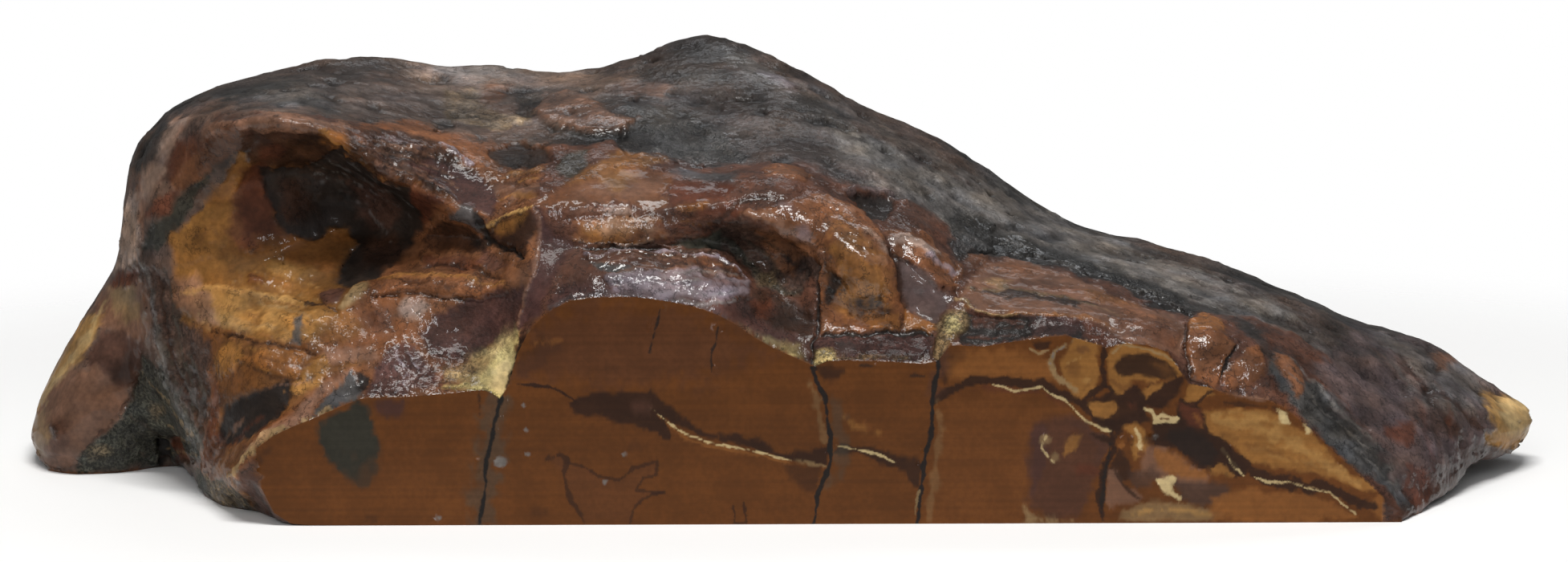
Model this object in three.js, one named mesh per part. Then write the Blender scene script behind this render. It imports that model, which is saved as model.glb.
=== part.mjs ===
// A sawn and polished slice of a fossil molar, in millimetres, +Z up.
// It is one natural piece. It rests on a flat sawn base, its polished face looks towards -Y,
// and everything else is broken or naturally weathered surface.
//
// The form is built the way a boat is drawn. Long lines, called courses here, run from the left tip
// to the right tip and follow what can be seen on the real piece: the foot, the saw edge, the wet
// ledge, the brow of the hollow, the edge of the dark rind, the crest. Columns cross the courses,
// and the skin is the net of both.
import * as THREE from "three";

// Driving dimensions
const FACE_LENGTH = 130; // sawn lower edge of the polished face
const FACE_ENDS = [365, 1765]; // the same edge in the photograph, pixels across
const BACK_BULGE = 3.5; // how far the hidden back swells behind its heel
const GROUND_REACH = 0.35; // a foot point lower than this lies on the flat base

// Weathering lumps: height in mm, size in mm along X, Y and Z, and a seed
const LUMPS = {
  rind: { height: 1.0, size: [15, 9, 9], seed: 31 },
  broken: { height: 0.45, size: [9, 6, 5], seed: 7 },
  back: { height: 1.3, size: [17, 11, 11], seed: 53 },
  backFine: { height: 0.5, size: [8, 6, 6], seed: 91 },
};

// The eye that the photograph was taken from
const PICTURE = { middleAcross: 977, middleDown: 350, faceFootDown: 653 };
const EYE_DISTANCE = 550; // from the polished face, mm
const EYE_ELEVATION = THREE.MathUtils.degToRad(8);
const EYE_TURN = THREE.MathUtils.degToRad(1); // the right end of the face is a little farther away

const PIXELS_PER_MM = (FACE_ENDS[1] - FACE_ENDS[0]) / FACE_LENGTH;
const FOCAL_PIXELS = PIXELS_PER_MM * EYE_DISTANCE;

// Where the eye stands and which way it looks, with the polished face in the plane y = 0
function makeEye() {
  const look = new THREE.Vector3(
    Math.sin(EYE_TURN) * Math.cos(EYE_ELEVATION),
    Math.cos(EYE_TURN) * Math.cos(EYE_ELEVATION),
    -Math.sin(EYE_ELEVATION),
  );
  const right = new THREE.Vector3(Math.cos(EYE_TURN), -Math.sin(EYE_TURN), 0);
  const up = new THREE.Vector3().crossVectors(right, look);
  const drop = (PICTURE.faceFootDown - PICTURE.middleDown) / FOCAL_PIXELS;
  const aimHeight = (drop * EYE_DISTANCE) / (up.z + drop * look.z);
  const place = new THREE.Vector3(0, 0, aimHeight).addScaledVector(look, -EYE_DISTANCE);
  return { look, right, up, place };
}
const EYE = makeEye();

// The point that is seen at a pixel and lies a given depth behind the polished face
function seen(across, down, depth) {
  const ray = EYE.look
    .clone()
    .addScaledVector(EYE.right, (across - PICTURE.middleAcross) / FOCAL_PIXELS)
    .addScaledVector(EYE.up, (PICTURE.middleDown - down) / FOCAL_PIXELS);
  return EYE.place.clone().addScaledVector(ray, (depth - EYE.place.y) / ray.y);
}

// The point of a hidden side that lies in the same upright column as a pixel
function hidden(across, depth, height) {
  const k = (across - PICTURE.middleAcross) / FOCAL_PIXELS;
  const side = EYE.right.clone().addScaledVector(EYE.look, -k);
  const y = depth - EYE.place.y;
  const z = height - EYE.place.z;
  return new THREE.Vector3(EYE.place.x - (y * side.y + z * side.z) / side.x, depth, height);
}

// Courses that run from tip to tip: pixels across, pixels down, depth in mm behind the face
const foot = [
  [41, 552, 43], [50, 570, 40], [60, 583, 36.5], [100, 588, 34], [135, 587, 34.5],
  [165, 584, 36], [200, 578, 39], [230, 577, 39.5], [240, 592, 30], [255, 616, 19],
  [285, 631, 11.5], [315, 635, 9.8], [345, 646, 4.2], [362, 652, 1.4], [380, 654, 0.7],
  [1000, 654, 0.7], [1740, 651, 1.2], [1762, 643, 4], [1785, 626, 9.5], [1806, 613, 13.5],
  [1818, 598, 17.5], [1828, 580, 22.5], [1850, 573, 27], [1890, 564, 32], [1909, 530, 38],
];
const faceFoot = [
  [41, 549, 42.8], [50, 564, 39.5], [60, 576, 36], [100, 579, 33.5], [150, 577, 34.5],
  [195, 570, 37.5], [228, 566, 37.5], [240, 575, 27], [255, 598, 16], [275, 604, 7],
  [298, 594, 0.4], [326, 598, 0], [336, 632, 0], [358, 651, 0], [375, 654, 0],
  [1000, 654, 0], [1745, 652, 0], [1765, 641, 3], [1785, 620, 9.2], [1806, 604, 13],
  [1818, 590, 17], [1828, 573, 21.5], [1850, 566, 26], [1890, 558, 31.4], [1909, 528, 37.8],
];
const sawEdge = [
  [41, 546, 42.6], [60, 566, 35.5], [100, 562, 32.8], [150, 556, 33.8], [195, 548, 36.5],
  [228, 545, 34], [240, 556, 23], [255, 578, 14], [275, 588, 5], [296, 588, 0.4],
  [311, 567, 0], [346, 540, 0], [384, 524, 0], [429, 505, 0], [454, 496, 0],
  [510, 494, 0], [560, 490, 0], [604, 486, 0], [625, 498, 0], [636, 474, 0],
  [645, 440, 0], [658, 415, 0], [688, 386, 0], [722, 372, 0], [780, 370, 0],
  [850, 379, 0], [900, 395, 0], [950, 427, 0], [1000, 450, 0], [1015, 457, 0],
  [1035, 449, 0], [1100, 450, 0], [1150, 453, 0], [1168, 450, 0], [1182, 430, 0],
  [1220, 432, 0], [1260, 426, 0], [1335, 418, 0], [1372, 434, 0], [1400, 428, 0],
  [1432, 430, 0], [1465, 446, 0], [1478, 478, 0], [1502, 482, 0], [1530, 492, 0],
  [1570, 496, 0], [1592, 504, 0], [1620, 525, 0], [1680, 580, 0], [1735, 630, 0],
  [1752, 640, 0.4], [1765, 633, 3.5], [1776, 618, 8], [1790, 606, 10.8], [1806, 592, 13.2],
  [1818, 578, 16.8], [1828, 563, 21], [1850, 558, 25.5], [1890, 551, 31], [1909, 526, 37.6],
];
const crest = [
  [41, 538, 43.4], [45, 519, 43.4], [75, 455, 42.4], [135, 354, 41], [149, 330, 39.5],
  [157, 275, 37], [166, 193, 34], [195, 154, 33], [225, 130, 34], [315, 98, 40],
  [465, 72, 46], [555, 83, 49], [610, 81, 50], [700, 92, 51], [765, 80, 52],
  [855, 48, 52], [885, 41, 52], [930, 55, 51], [1005, 92, 49], [1065, 128, 48],
  [1155, 167, 46.5], [1215, 200, 46], [1280, 248, 45.5], [1335, 277, 45], [1455, 310, 43.5],
  [1575, 351, 41.5], [1695, 405, 39], [1725, 411, 38], [1785, 432, 37], [1845, 475, 37.5],
  [1885, 498, 38.5], [1903, 507, 39], [1909, 519, 39],
];

// Courses of the broken surface and the rind, between the two lobes at the ends
const apron = [
  [170, 528, 34.5], [200, 515, 34], [225, 528, 23], [240, 536, 18.5], [255, 552, 14],
  [275, 560, 7], [300, 550, 3.5], [330, 530, 3],
  [370, 508, 2.5], [420, 490, 2], [454, 478, 2.5], [500, 470, 3], [560, 462, 2.5],
  [604, 452, 2], [622, 466, 1], [634, 445, 1.5], [645, 412, 2], [662, 384, 2.3],
  [690, 360, 2.5], [722, 346, 2.2], [780, 338, 2.5], [850, 345, 2.5], [900, 362, 2.5],
  [950, 398, 3], [1000, 428, 2.5], [1018, 420, 3], [1100, 416, 3], [1150, 420, 3],
  [1172, 414, 3], [1192, 406, 2.2], [1225, 412, 1.8], [1300, 400, 2], [1335, 403, 1.5],
  [1372, 418, 1.2], [1432, 419, 1.2], [1462, 430, 1.5], [1480, 455, 1.5], [1530, 468, 2],
  [1570, 478, 2], [1600, 490, 1.5], [1660, 538, 1.5], [1720, 590, 2], [1745, 614, 2.3],
  [1760, 618, 4.6], [1775, 598, 11],
];
const hollowLip = [
  [170, 480, 33.5], [190, 470, 28], [203, 462, 22.5], [225, 488, 20.5], [240, 490, 18.5],
  [262, 472, 13], [290, 440, 9.5], [330, 415, 8], [370, 405, 8],
  [400, 385, 9], [450, 362, 9.5], [500, 356, 9], [560, 352, 8], [600, 356, 7],
  [630, 372, 5], [645, 350, 4.5], [662, 330, 4.8], [690, 320, 5.4], [722, 312, 5.8],
  [780, 308, 6.2], [850, 312, 6.6], [900, 322, 7.4], [950, 345, 8], [985, 395, 6],
  [1000, 412, 4.3], [1018, 408, 4.5], [1100, 410, 4], [1150, 408, 4.5], [1165, 402, 5],
  [1195, 394, 3.2], [1225, 398, 2.6], [1260, 396, 2.8], [1335, 394, 2], [1372, 408, 2],
  [1432, 410, 2], [1462, 420, 2.2], [1480, 440, 2.3], [1530, 450, 3], [1570, 462, 3],
  [1600, 477, 2.6], [1660, 524, 2.6], [1720, 575, 3], [1745, 598, 3.8],
  [1758, 600, 5.6], [1775, 580, 11.5],
];
const hollowFloor = [
  [170, 420, 31], [184, 405, 23.5], [200, 410, 23.5], [225, 425, 20.5], [240, 426, 19],
  [262, 405, 16], [290, 390, 14], [330, 380, 14], [370, 365, 14.5],
  [400, 352, 15], [450, 338, 15.5], [500, 332, 15], [560, 325, 13], [600, 322, 11],
  [640, 325, 8], [662, 300, 6.2], [690, 298, 6.3], [722, 298, 6.4], [780, 298, 6.8],
  [850, 303, 7.4], [900, 302, 9], [950, 310, 9.5], [985, 350, 8], [1005, 380, 5],
  [1050, 365, 4.8], [1100, 370, 4.6], [1125, 385, 5.5], [1150, 380, 6], [1168, 378, 6.3],
  [1188, 380, 4.6], [1215, 384, 2.8], [1260, 388, 2.8], [1335, 388, 2.2], [1372, 398, 2.6],
  [1432, 403, 2.8], [1462, 412, 3], [1480, 428, 3.2], [1530, 435, 3.8], [1570, 448, 4],
  [1600, 465, 3.8], [1660, 511, 3.9], [1720, 558, 4.2], [1738, 576, 4.8], [1752, 578, 7],
  [1775, 562, 12.5],
];
const hollowDeep = [
  [170, 345, 29], [180, 330, 25], [195, 340, 24], [225, 352, 21], [240, 357, 19.5],
  [262, 345, 18], [290, 330, 18.5], [330, 318, 19], [370, 305, 20],
  [400, 298, 20.5], [450, 292, 20.5], [500, 292, 19], [560, 296, 15.5], [600, 300, 12.5],
  [640, 290, 8.5], [652, 275, 7.2], [664, 266, 7.2], [722, 270, 7.6], [780, 272, 7.9],
  [850, 276, 7.8], [900, 276, 7], [935, 268, 6], [965, 280, 5.5], [1018, 315, 5.5],
  [1050, 310, 5.5], [1090, 320, 5.2], [1110, 345, 5.5], [1130, 350, 6.5], [1150, 345, 7],
  [1168, 352, 7.8], [1190, 363, 6.2], [1215, 372, 4.4], [1260, 377, 5], [1300, 372, 5.5],
  [1335, 376, 5], [1372, 388, 5], [1432, 396, 4.5], [1480, 415, 4.5], [1530, 420, 5],
  [1570, 435, 5.2], [1600, 452, 5.2], [1660, 498, 5.2], [1705, 533, 5.4],
  [1728, 552, 6.2], [1745, 552, 9.5], [1775, 541, 13.5],
];
const underBrow = [
  [170, 275, 28.5], [182, 275, 25], [205, 262, 23.2], [225, 264, 22], [240, 268, 20.8],
  [262, 255, 19], [290, 235, 19.5], [330, 215, 20], [370, 210, 20.5],
  [400, 215, 20.5], [450, 232, 19], [480, 252, 17.5], [520, 268, 15.5], [560, 280, 13.5],
  [600, 288, 11.5], [640, 272, 9.5], [664, 252, 8], [690, 250, 8.3], [722, 248, 8.8],
  [780, 248, 9.2], [850, 254, 9], [900, 254, 8.6], [935, 248, 8], [965, 252, 7.5],
  [1018, 288, 6.5], [1050, 284, 7], [1090, 292, 7], [1110, 310, 8], [1130, 318, 8.5],
  [1150, 315, 9], [1170, 332, 10.3], [1195, 350, 9], [1225, 358, 8.2], [1260, 362, 8.5],
  [1335, 364, 8.5],
  [1372, 378, 8], [1432, 388, 7], [1480, 405, 6], [1530, 410, 6.5], [1570, 424, 6.8],
  [1600, 442, 6.8], [1660, 486, 6.6], [1700, 516, 7], [1722, 530, 9.2], [1745, 528, 12.5],
  [1775, 519, 15.5],
];
const brow = [
  [170, 228, 29.5], [185, 225, 26.5], [200, 212, 24.4], [215, 192, 23.6], [240, 180, 21],
  [262, 162, 17], [290, 150, 14], [320, 147, 12.5], [380, 152, 12],
  [430, 172, 11.5], [470, 212, 11], [530, 242, 11], [560, 260, 11], [600, 275, 10.5],
  [640, 256, 11], [664, 235, 11.5], [690, 225, 12.5], [722, 220, 14], [780, 215, 15],
  [850, 222, 14], [900, 225, 13.5], [935, 222, 12], [965, 226, 10], [1018, 258, 9],
  [1050, 258, 10], [1090, 265, 11], [1110, 280, 11.5], [1150, 290, 12], [1170, 306, 13],
  [1198, 332, 12.4], [1222, 342, 12], [1260, 346, 12.5], [1335, 352, 12], [1372, 367, 11.5],
  [1432, 380, 10],
  [1480, 398, 8.5], [1530, 402, 9], [1570, 412, 9.5], [1600, 430, 9.5], [1660, 470, 10],
  [1690, 492, 9.6], [1715, 506, 12.5], [1745, 505, 15.5], [1775, 498, 18.5],
];
const rindEdge = [
  [170, 207, 31], [185, 186, 28.5], [205, 165, 27], [225, 152, 24.5], [240, 147, 22.5],
  [262, 143, 19.5], [290, 138, 17.5], [320, 136, 16.5], [380, 140, 16.5],
  [430, 155, 17], [470, 165, 18], [520, 172, 19], [560, 190, 18], [640, 198, 20],
  [690, 185, 21.5], [740, 178, 22], [790, 180, 22], [830, 200, 20], [880, 208, 20],
  [920, 212, 19], [950, 206, 17], [990, 212, 16], [1020, 225, 15.5], [1060, 235, 16],
  [1120, 255, 17], [1150, 268, 17], [1175, 286, 16.8], [1205, 312, 16.4], [1240, 322, 17],
  [1300, 330, 17], [1340, 338, 16.5], [1400, 358, 15], [1450, 378, 13], [1480, 390, 11.5],
  [1530, 393, 12.5], [1570, 400, 13], [1600, 415, 13], [1680, 465, 13.5], [1720, 492, 15],
  [1750, 512, 18], [1775, 498, 20],
];
const rindLow = [
  [170, 199, 32.2], [185, 177, 30.5], [205, 156, 29.5], [225, 144, 28], [240, 139, 26],
  [300, 124, 24], [380, 118, 26], [450, 128, 28], [520, 138, 30],
  [600, 150, 31], [690, 145, 32], [790, 130, 33], [880, 160, 30], [950, 165, 28],
  [1020, 180, 26], [1090, 200, 26], [1150, 225, 26], [1200, 270, 25], [1260, 290, 26],
  [1340, 315, 25], [1400, 332, 23.5], [1480, 360, 21], [1570, 378, 21], [1640, 412, 20],
  [1700, 440, 20], [1750, 470, 22], [1775, 470, 24],
];
const rindHigh = [
  [170, 192, 33.2], [185, 170, 32], [205, 150, 31.5], [225, 137, 31], [240, 131, 30],
  [300, 111, 32], [380, 98, 35], [450, 98, 38], [520, 106, 40],
  [600, 112, 42], [690, 115, 42], [790, 95, 43], [880, 98, 41], [950, 108, 39],
  [1020, 132, 36], [1090, 165, 35], [1150, 190, 35], [1200, 222, 34], [1260, 258, 35],
  [1340, 293, 34], [1400, 308, 33], [1480, 332, 31], [1570, 358, 30], [1640, 388, 29],
  [1700, 418, 28], [1750, 436, 30], [1775, 440, 31],
];

// The hidden back: pixels across, depth in mm behind the face, height in mm of the heel
const heel = [
  [41, 47, 1.5], [50, 53, 0.6], [70, 59, 0], [110, 64, 0], [180, 68, 0],
  [300, 72, 0], [480, 75, 0], [640, 74, 0], [820, 76, 0], [1000, 74, 0],
  [1160, 71, 0], [1300, 69, 0], [1450, 63, 0], [1580, 60, 0], [1700, 55, 0],
  [1790, 50, 1.2], [1850, 46, 2.6], [1895, 43, 4], [1909, 41, 5],
];

// Broad scars and swellings of the hidden back: pixels across, share of the height, mm, mm out
const BACK_FORMS = [
  { across: 420, rise: 0.62, reach: 21, out: -4.5 },
  { across: 700, rise: 0.35, reach: 17, out: 3.2 },
  { across: 980, rise: 0.66, reach: 24, out: -3.6 },
  { across: 1180, rise: 0.3, reach: 15, out: 2.6 },
  { across: 1420, rise: 0.55, reach: 16, out: -2.6 },
  { across: 200, rise: 0.35, reach: 13, out: 2.2 },
];

// Smooth value of one column of a course at a place across, without overshoot between its knots
function along(course, across, column) {
  const last = course.length - 1;
  if (across <= course[0][0]) return course[0][column];
  if (across >= course[last][0]) return course[last][column];
  const i = course.findIndex((knot) => knot[0] > across) - 1;
  const slope = (j) => (course[j + 1][column] - course[j][column]) / (course[j + 1][0] - course[j][0]);
  const tangent = (j) => {
    if (j === 0 || j === last) return 0;
    const before = slope(j - 1);
    const after = slope(j);
    return before * after <= 0 ? 0 : (2 * before * after) / (before + after);
  };
  const span = course[i + 1][0] - course[i][0];
  const t = (across - course[i][0]) / span;
  const ease = t * t * (3 - 2 * t);
  const leave = t * (1 - t) * (1 - t) * span * tangent(i);
  const arrive = t * t * (t - 1) * span * tangent(i + 1);
  return course[i][column] * (1 - ease) + course[i + 1][column] * ease + leave + arrive;
}
const onCourse = (course, across) => seen(across, along(course, across, 1), along(course, across, 2));

// Repeatable lattice noise in -1..1
function lattice(i, j, k) {
  let h = Math.imul(i, 374761393) ^ Math.imul(j, 668265263) ^ Math.imul(k, 2147483647);
  h = Math.imul(h ^ (h >>> 13), 1274126177);
  return ((h ^ (h >>> 16)) >>> 0) / 2147483647.5 - 1;
}
function lumps(point, { height, size, seed }) {
  const p = point.toArray().map((value, axis) => value / size[axis] + seed);
  const cell = p.map(Math.floor);
  const near = p.map((value, axis) => value - cell[axis]).map((t) => t * t * (3 - 2 * t));
  let sum = 0;
  for (let corner = 0; corner < 8; corner++) {
    const step = [corner & 1, (corner >> 1) & 1, corner >> 2];
    const weight = step.reduce((product, s, axis) => product * (s ? near[axis] : 1 - near[axis]), 1);
    sum += weight * lattice(cell[0] + step[0], cell[1] + step[1], cell[2] + step[2]);
  }
  return height * sum;
}

const RELIEF_FADE = [0.4, 3]; // mm behind the face over which lumps and single forms come in

// The two lobes have no saw edge or hollow: their skin rises evenly from the foot to the crest
const LOBES = { leftEnd: 168, rightStart: 1778, lean: 1.7, swell: 0.12 };
const MIDDLE_COURSES = [
  apron, hollowLip, hollowFloor, hollowDeep, underBrow, brow, rindEdge, rindLow, rindHigh,
];
function onLobe(across, step) {
  const share = step / (MIDDLE_COURSES.length + 1);
  const low = [along(sawEdge, across, 1), along(sawEdge, across, 2)];
  const high = [along(crest, across, 1), along(crest, across, 2)];
  const down = THREE.MathUtils.lerp(low[0], high[0], share);
  const lean = share ** LOBES.lean - LOBES.swell * Math.sin(Math.PI * share);
  return seen(across, down, THREE.MathUtils.lerp(low[1], high[1], lean));
}

// The round of the back between the crest and the heel
const BACK = { fall: 0.8, spread: 0.9, fullDepth: 18, fadeRows: 3 };

// How many faces lie between one course and the next, and in all down the back
const STEPS = { face: 2, broken: 2, rind: 3, back: 18, base: 2 };
const RIND_START = MIDDLE_COURSES.indexOf(rindEdge) + 1;
const TOP_ROW = 1 + STEPS.face + RIND_START * STEPS.broken + 3 * STEPS.rind;

// One upright column of the net: a closed loop of points, up the front, over the crest, down the back
function columnAt(across) {
  const inLobe = across < LOBES.leftEnd || across > LOBES.rightStart;
  const knotOf = (course, i) => (inLobe ? onLobe(across, i + 1) : onCourse(course, across));
  const front = MIDDLE_COURSES.map(knotOf);
  const toe = onCourse(foot, across);
  if (toe.z < GROUND_REACH) toe.z = 0;
  const lip = onCourse(faceFoot, across);
  lip.z = Math.max(lip.z, toe.z);
  const saw = onCourse(sawEdge, across);
  const top = onCourse(crest, across);
  const loop = [];
  const rise = (from, to, count, lump) => {
    for (let i = 0; i < count; i++) {
      const p = from.clone().lerp(to, i / count);
      loop.push(lump ? lump(p) : p);
    }
  };

  rise(toe, lip, 1);
  rise(lip, saw, STEPS.face);
  const knots = [saw, ...front, top];
  for (let i = 0; i + 1 < knots.length; i++) {
    const kind = inLobe || i >= RIND_START ? LUMPS.rind : LUMPS.broken;
    const lump = (p) => {
      p.y = Math.max(0, p.y + THREE.MathUtils.smoothstep(p.y, ...RELIEF_FADE) * lumps(p, kind));
      return p;
    };
    rise(knots[i], knots[i + 1], i >= RIND_START ? STEPS.rind : STEPS.broken, lump);
  }

  const heelDepth = along(heel, across, 1);
  const heelHeight = along(heel, across, 2);
  const room = Math.min(1, (heelDepth - top.y) / BACK.fullDepth);
  for (let i = 0; i < STEPS.back; i++) {
    const turn = (i / STEPS.back) * (Math.PI / 2);
    const share = Math.cos(turn) ** BACK.fall; // of the height, 1 at the crest
    const run = Math.sin(turn) ** BACK.spread; // of the depth, 1 at the heel
    const height = THREE.MathUtils.lerp(heelHeight, top.z, share);
    const bulge = BACK_BULGE * Math.sin(Math.PI * run ** 2) * room;
    const p = hidden(across, THREE.MathUtils.lerp(top.y, heelDepth, run) + bulge, height);
    const fade = room * Math.min(1, i / BACK.fadeRows);
    for (const form of BACK_FORMS) {
      const dx = (across - form.across) / PIXELS_PER_MM;
      const dz = (share - form.rise) * top.z;
      p.y += fade * form.out * Math.exp(-(dx * dx + dz * dz * 2) / form.reach ** 2);
    }
    p.y += fade * (lumps(p, LUMPS.back) + lumps(p, LUMPS.backFine));
    loop.push(p);
  }

  rise(hidden(across, heelDepth, heelHeight), toe, STEPS.base);
  return loop;
}

// Columns stand closer where the outline or the relief turns quickly
const COLUMN_SPANS = [
  [41, 60, 3], [60, 145, 5], [145, 170, 4], [170, 255, 7], [255, 600, 16], [600, 690, 8],
  [690, 1000, 15], [1000, 1200, 13], [1200, 1480, 11], [1480, 1770, 12], [1770, 1840, 6], [1840, 1890, 2],
  [1890, 1909, 2],
];
function columnPlaces() {
  const places = COLUMN_SPANS.flatMap(([from, to, count]) =>
    Array.from({ length: count }, (_, i) => from + ((to - from) * i) / count),
  );
  return [...places, COLUMN_SPANS.at(-1)[1]];
}

// The closed skin: the net between the columns, and a fan of faces over each tip
function skin(loops) {
  const around = loops[0].length;
  const points = loops.flat();
  const faces = [];
  for (let c = 0; c + 1 < loops.length; c++) {
    for (let r = 0; r < around; r++) {
      const a = c * around + r;
      const b = c * around + ((r + 1) % around);
      const [d, e] = [a + around, b + around];
      const rising = points[a].distanceTo(points[e]) < points[b].distanceTo(points[d]);
      faces.push(...(rising ? [a, d, e, a, e, b] : [a, d, b, b, d, e]));
    }
  }
  for (const end of [0, loops.length - 1]) {
    const centre = points.length;
    points.push(loops[end].reduce((sum, p) => sum.add(p), new THREE.Vector3()).divideScalar(around));
    for (let r = 0; r < around; r++) {
      const a = end * around + r;
      const b = end * around + ((r + 1) % around);
      faces.push(...(end ? [centre, b, a] : [centre, a, b]));
    }
  }
  return { points, faces };
}

// Sideways softening of the broken surface and the rind, so that no column stands out as a rib.
// The outline (the foot and the crest) and the polished face keep their corners.
const SOFTENING = { passes: 3, share: 0.5, fullDepth: 2.5 };
function soften(loops) {
  for (let pass = 0; pass < SOFTENING.passes; pass++) {
    const before = loops.map((loop) => loop.map((p) => p.clone()));
    for (let c = 1; c + 1 < loops.length; c++) {
      for (let r = 1; r < TOP_ROW; r++) {
        const left = before[c - 1][r];
        const right = before[c + 1][r];
        const here = before[c][r];
        const between = left.clone().lerp(right, (here.x - left.x) / (right.x - left.x));
        const share = SOFTENING.share * THREE.MathUtils.smoothstep(here.y, 0, SOFTENING.fullDepth);
        loops[c][r].lerp(between, share);
      }
    }
  }
}

// Single forms of the broken surface and the rind: pixels across and down of the middle, pixels of
// reach along and athwart, degrees that the long way leans clockwise, and mm that it stands out
const RELIEF = {
  knob: [1068, 330, 58, 30, 62, 3.1],
  knobCrown: [1000, 272, 30, 13, 38, 1.2],
  knobCavity: [985, 314, 34, 20, 15, -3.2],
  secondFold: [1152, 330, 55, 20, 68, 2.2],
  foldPit: [1086, 259, 26, 13, 5, -3],
  capLump: [976, 219, 34, 13, 10, 1.8],
  maroonLedge: [1090, 432, 70, 12, 0, -0.8],
  wetWave: [800, 350, 100, 15, 8, 1.3],
  wetGroove: [915, 318, 62, 13, 28, -1.5],
  upperWave: [790, 290, 110, 10, 5, 0.6],
  waveCrack: [790, 307, 120, 5, 4, -0.7],
  palePanel: [750, 232, 85, 24, -14, 1.4],
  redPanel: [885, 240, 48, 18, -12, 1.2],
  hollowPocket: [425, 258, 62, 44, 35, -3],
  hollowShelf: [500, 378, 120, 15, -8, 1.7],
  lowerShelf: [300, 430, 60, 16, 12, 1.4],
  lowerBlock: [330, 480, 42, 26, -40, 1.3],
  wetBump: [490, 462, 34, 24, -30, 1.4],
  fanFacet: [590, 420, 40, 30, 60, -1.2],
  browRidge: [350, 158, 90, 13, 8, 1.5],
  browBlock: [470, 190, 48, 18, 30, 1.8],
  browCut: [560, 215, 50, 12, -10, -1.6],
  rindLump: [712, 136, 52, 18, 8, 1.7],
  rindHump: [600, 128, 40, 16, -5, 1.1],
  crustDip: [850, 180, 60, 18, 10, -1.8],
  rindSwell: [935, 130, 75, 26, 20, 1.4],
  rindKnuckle: [1050, 205, 42, 12, 20, 1.6],
  shoulderDip: [1190, 300, 36, 20, 40, -1.8],
  shoulderLump: [1270, 292, 60, 14, 20, 1.3],
  shelfStreak: [1290, 375, 75, 7, 4, -0.9],
  shelfLip: [1330, 350, 90, 10, 12, 0.9],
  ridgedBlock: [1508, 422, 28, 22, 80, 1.9],
  redChunk: [1568, 470, 34, 24, 45, 1.1],
  slopeLump: [1420, 345, 60, 12, 18, 1.2],
  slopeDip: [1600, 400, 60, 12, 20, -1.2],
  slopeLobe: [1690, 440, 50, 16, 35, 1.4],
  bandGroove: [1700, 530, 80, 12, 45, -1],
  rightRidge: [1745, 590, 60, 9, 62, 1.1],
  rightHollow: [1795, 540, 50, 16, 55, -1.5],
  rightKnuckle: [1835, 500, 40, 15, 35, 1.3],
  leftRib: [215, 455, 110, 11, 72, 1.6],
  leftGroove: [182, 440, 110, 10, 78, -1.3],
  leftFacet: [120, 460, 110, 34, -58, 1.4],
  leftPit: [216, 560, 16, 14, 0, -2.6],
  mossLump: [170, 530, 30, 18, 20, 1.2],
  cornerCheek: [190, 210, 60, 20, 80, 1.2],
};

// Where a point is seen in the photograph
function pixelOf(point) {
  const away = point.clone().sub(EYE.place);
  const scale = FOCAL_PIXELS / away.dot(EYE.look);
  return [
    PICTURE.middleAcross + scale * away.dot(EYE.right),
    PICTURE.middleDown - scale * away.dot(EYE.up),
  ];
}

function carve(loops) {
  for (const loop of loops.slice(1, -1)) {
    for (const p of loop.slice(1 + STEPS.face, TOP_ROW)) {
      const fade = THREE.MathUtils.smoothstep(p.y, ...RELIEF_FADE);
      if (fade === 0) continue;
      const [across, down] = pixelOf(p);
      let out = 0;
      for (const [middleAcross, middleDown, along, athwart, lean, height] of Object.values(RELIEF)) {
        const turn = THREE.MathUtils.degToRad(lean);
        const dx = across - middleAcross;
        const dy = down - middleDown;
        const u = (dx * Math.cos(turn) + dy * Math.sin(turn)) / along;
        const v = (dy * Math.cos(turn) - dx * Math.sin(turn)) / athwart;
        out += height * Math.exp(-(u * u + v * v));
      }
      p.y = Math.max(0, p.y - fade * out);
    }
  }
}

function sliceGeometry() {
  const loops = columnPlaces().map(columnAt);
  soften(loops);
  carve(loops);
  const { points, faces } = skin(loops);
  const box = new THREE.Box3().setFromPoints(points);
  const middle = box.getCenter(new THREE.Vector3());
  const geometry = new THREE.BufferGeometry().setFromPoints(points);
  geometry.setIndex(faces);
  geometry.translate(-middle.x, -middle.y, -box.min.z); // origin: middle of the base
  geometry.computeVertexNormals();
  return geometry;
}

const fossil = new THREE.Mesh(
  sliceGeometry(),
  new THREE.MeshStandardMaterial({ color: 0x5a3a26, roughness: 0.4, metalness: 0 }),
);
fossil.name = "fossil_slice";

const part = new THREE.Group();
part.add(fossil);
export default part;
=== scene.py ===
# %% [markdown]
# # A sawn and polished slice of fossil molar
# One natural piece of dark brown stone lies on a pale table. Its front is sawn and polished, its
# underside is sawn flat, and the rest is broken, lacquered or weathered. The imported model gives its
# size and its main forms. This lesson gives it a fine skin: a denser mesh, ledges, chips, cracks
# and veins, and procedural colour.
#
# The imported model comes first, because every later step measures itself against it.

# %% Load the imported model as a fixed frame
import math

import bpy
import numpy as np
from mathutils import Matrix, Vector


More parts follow.
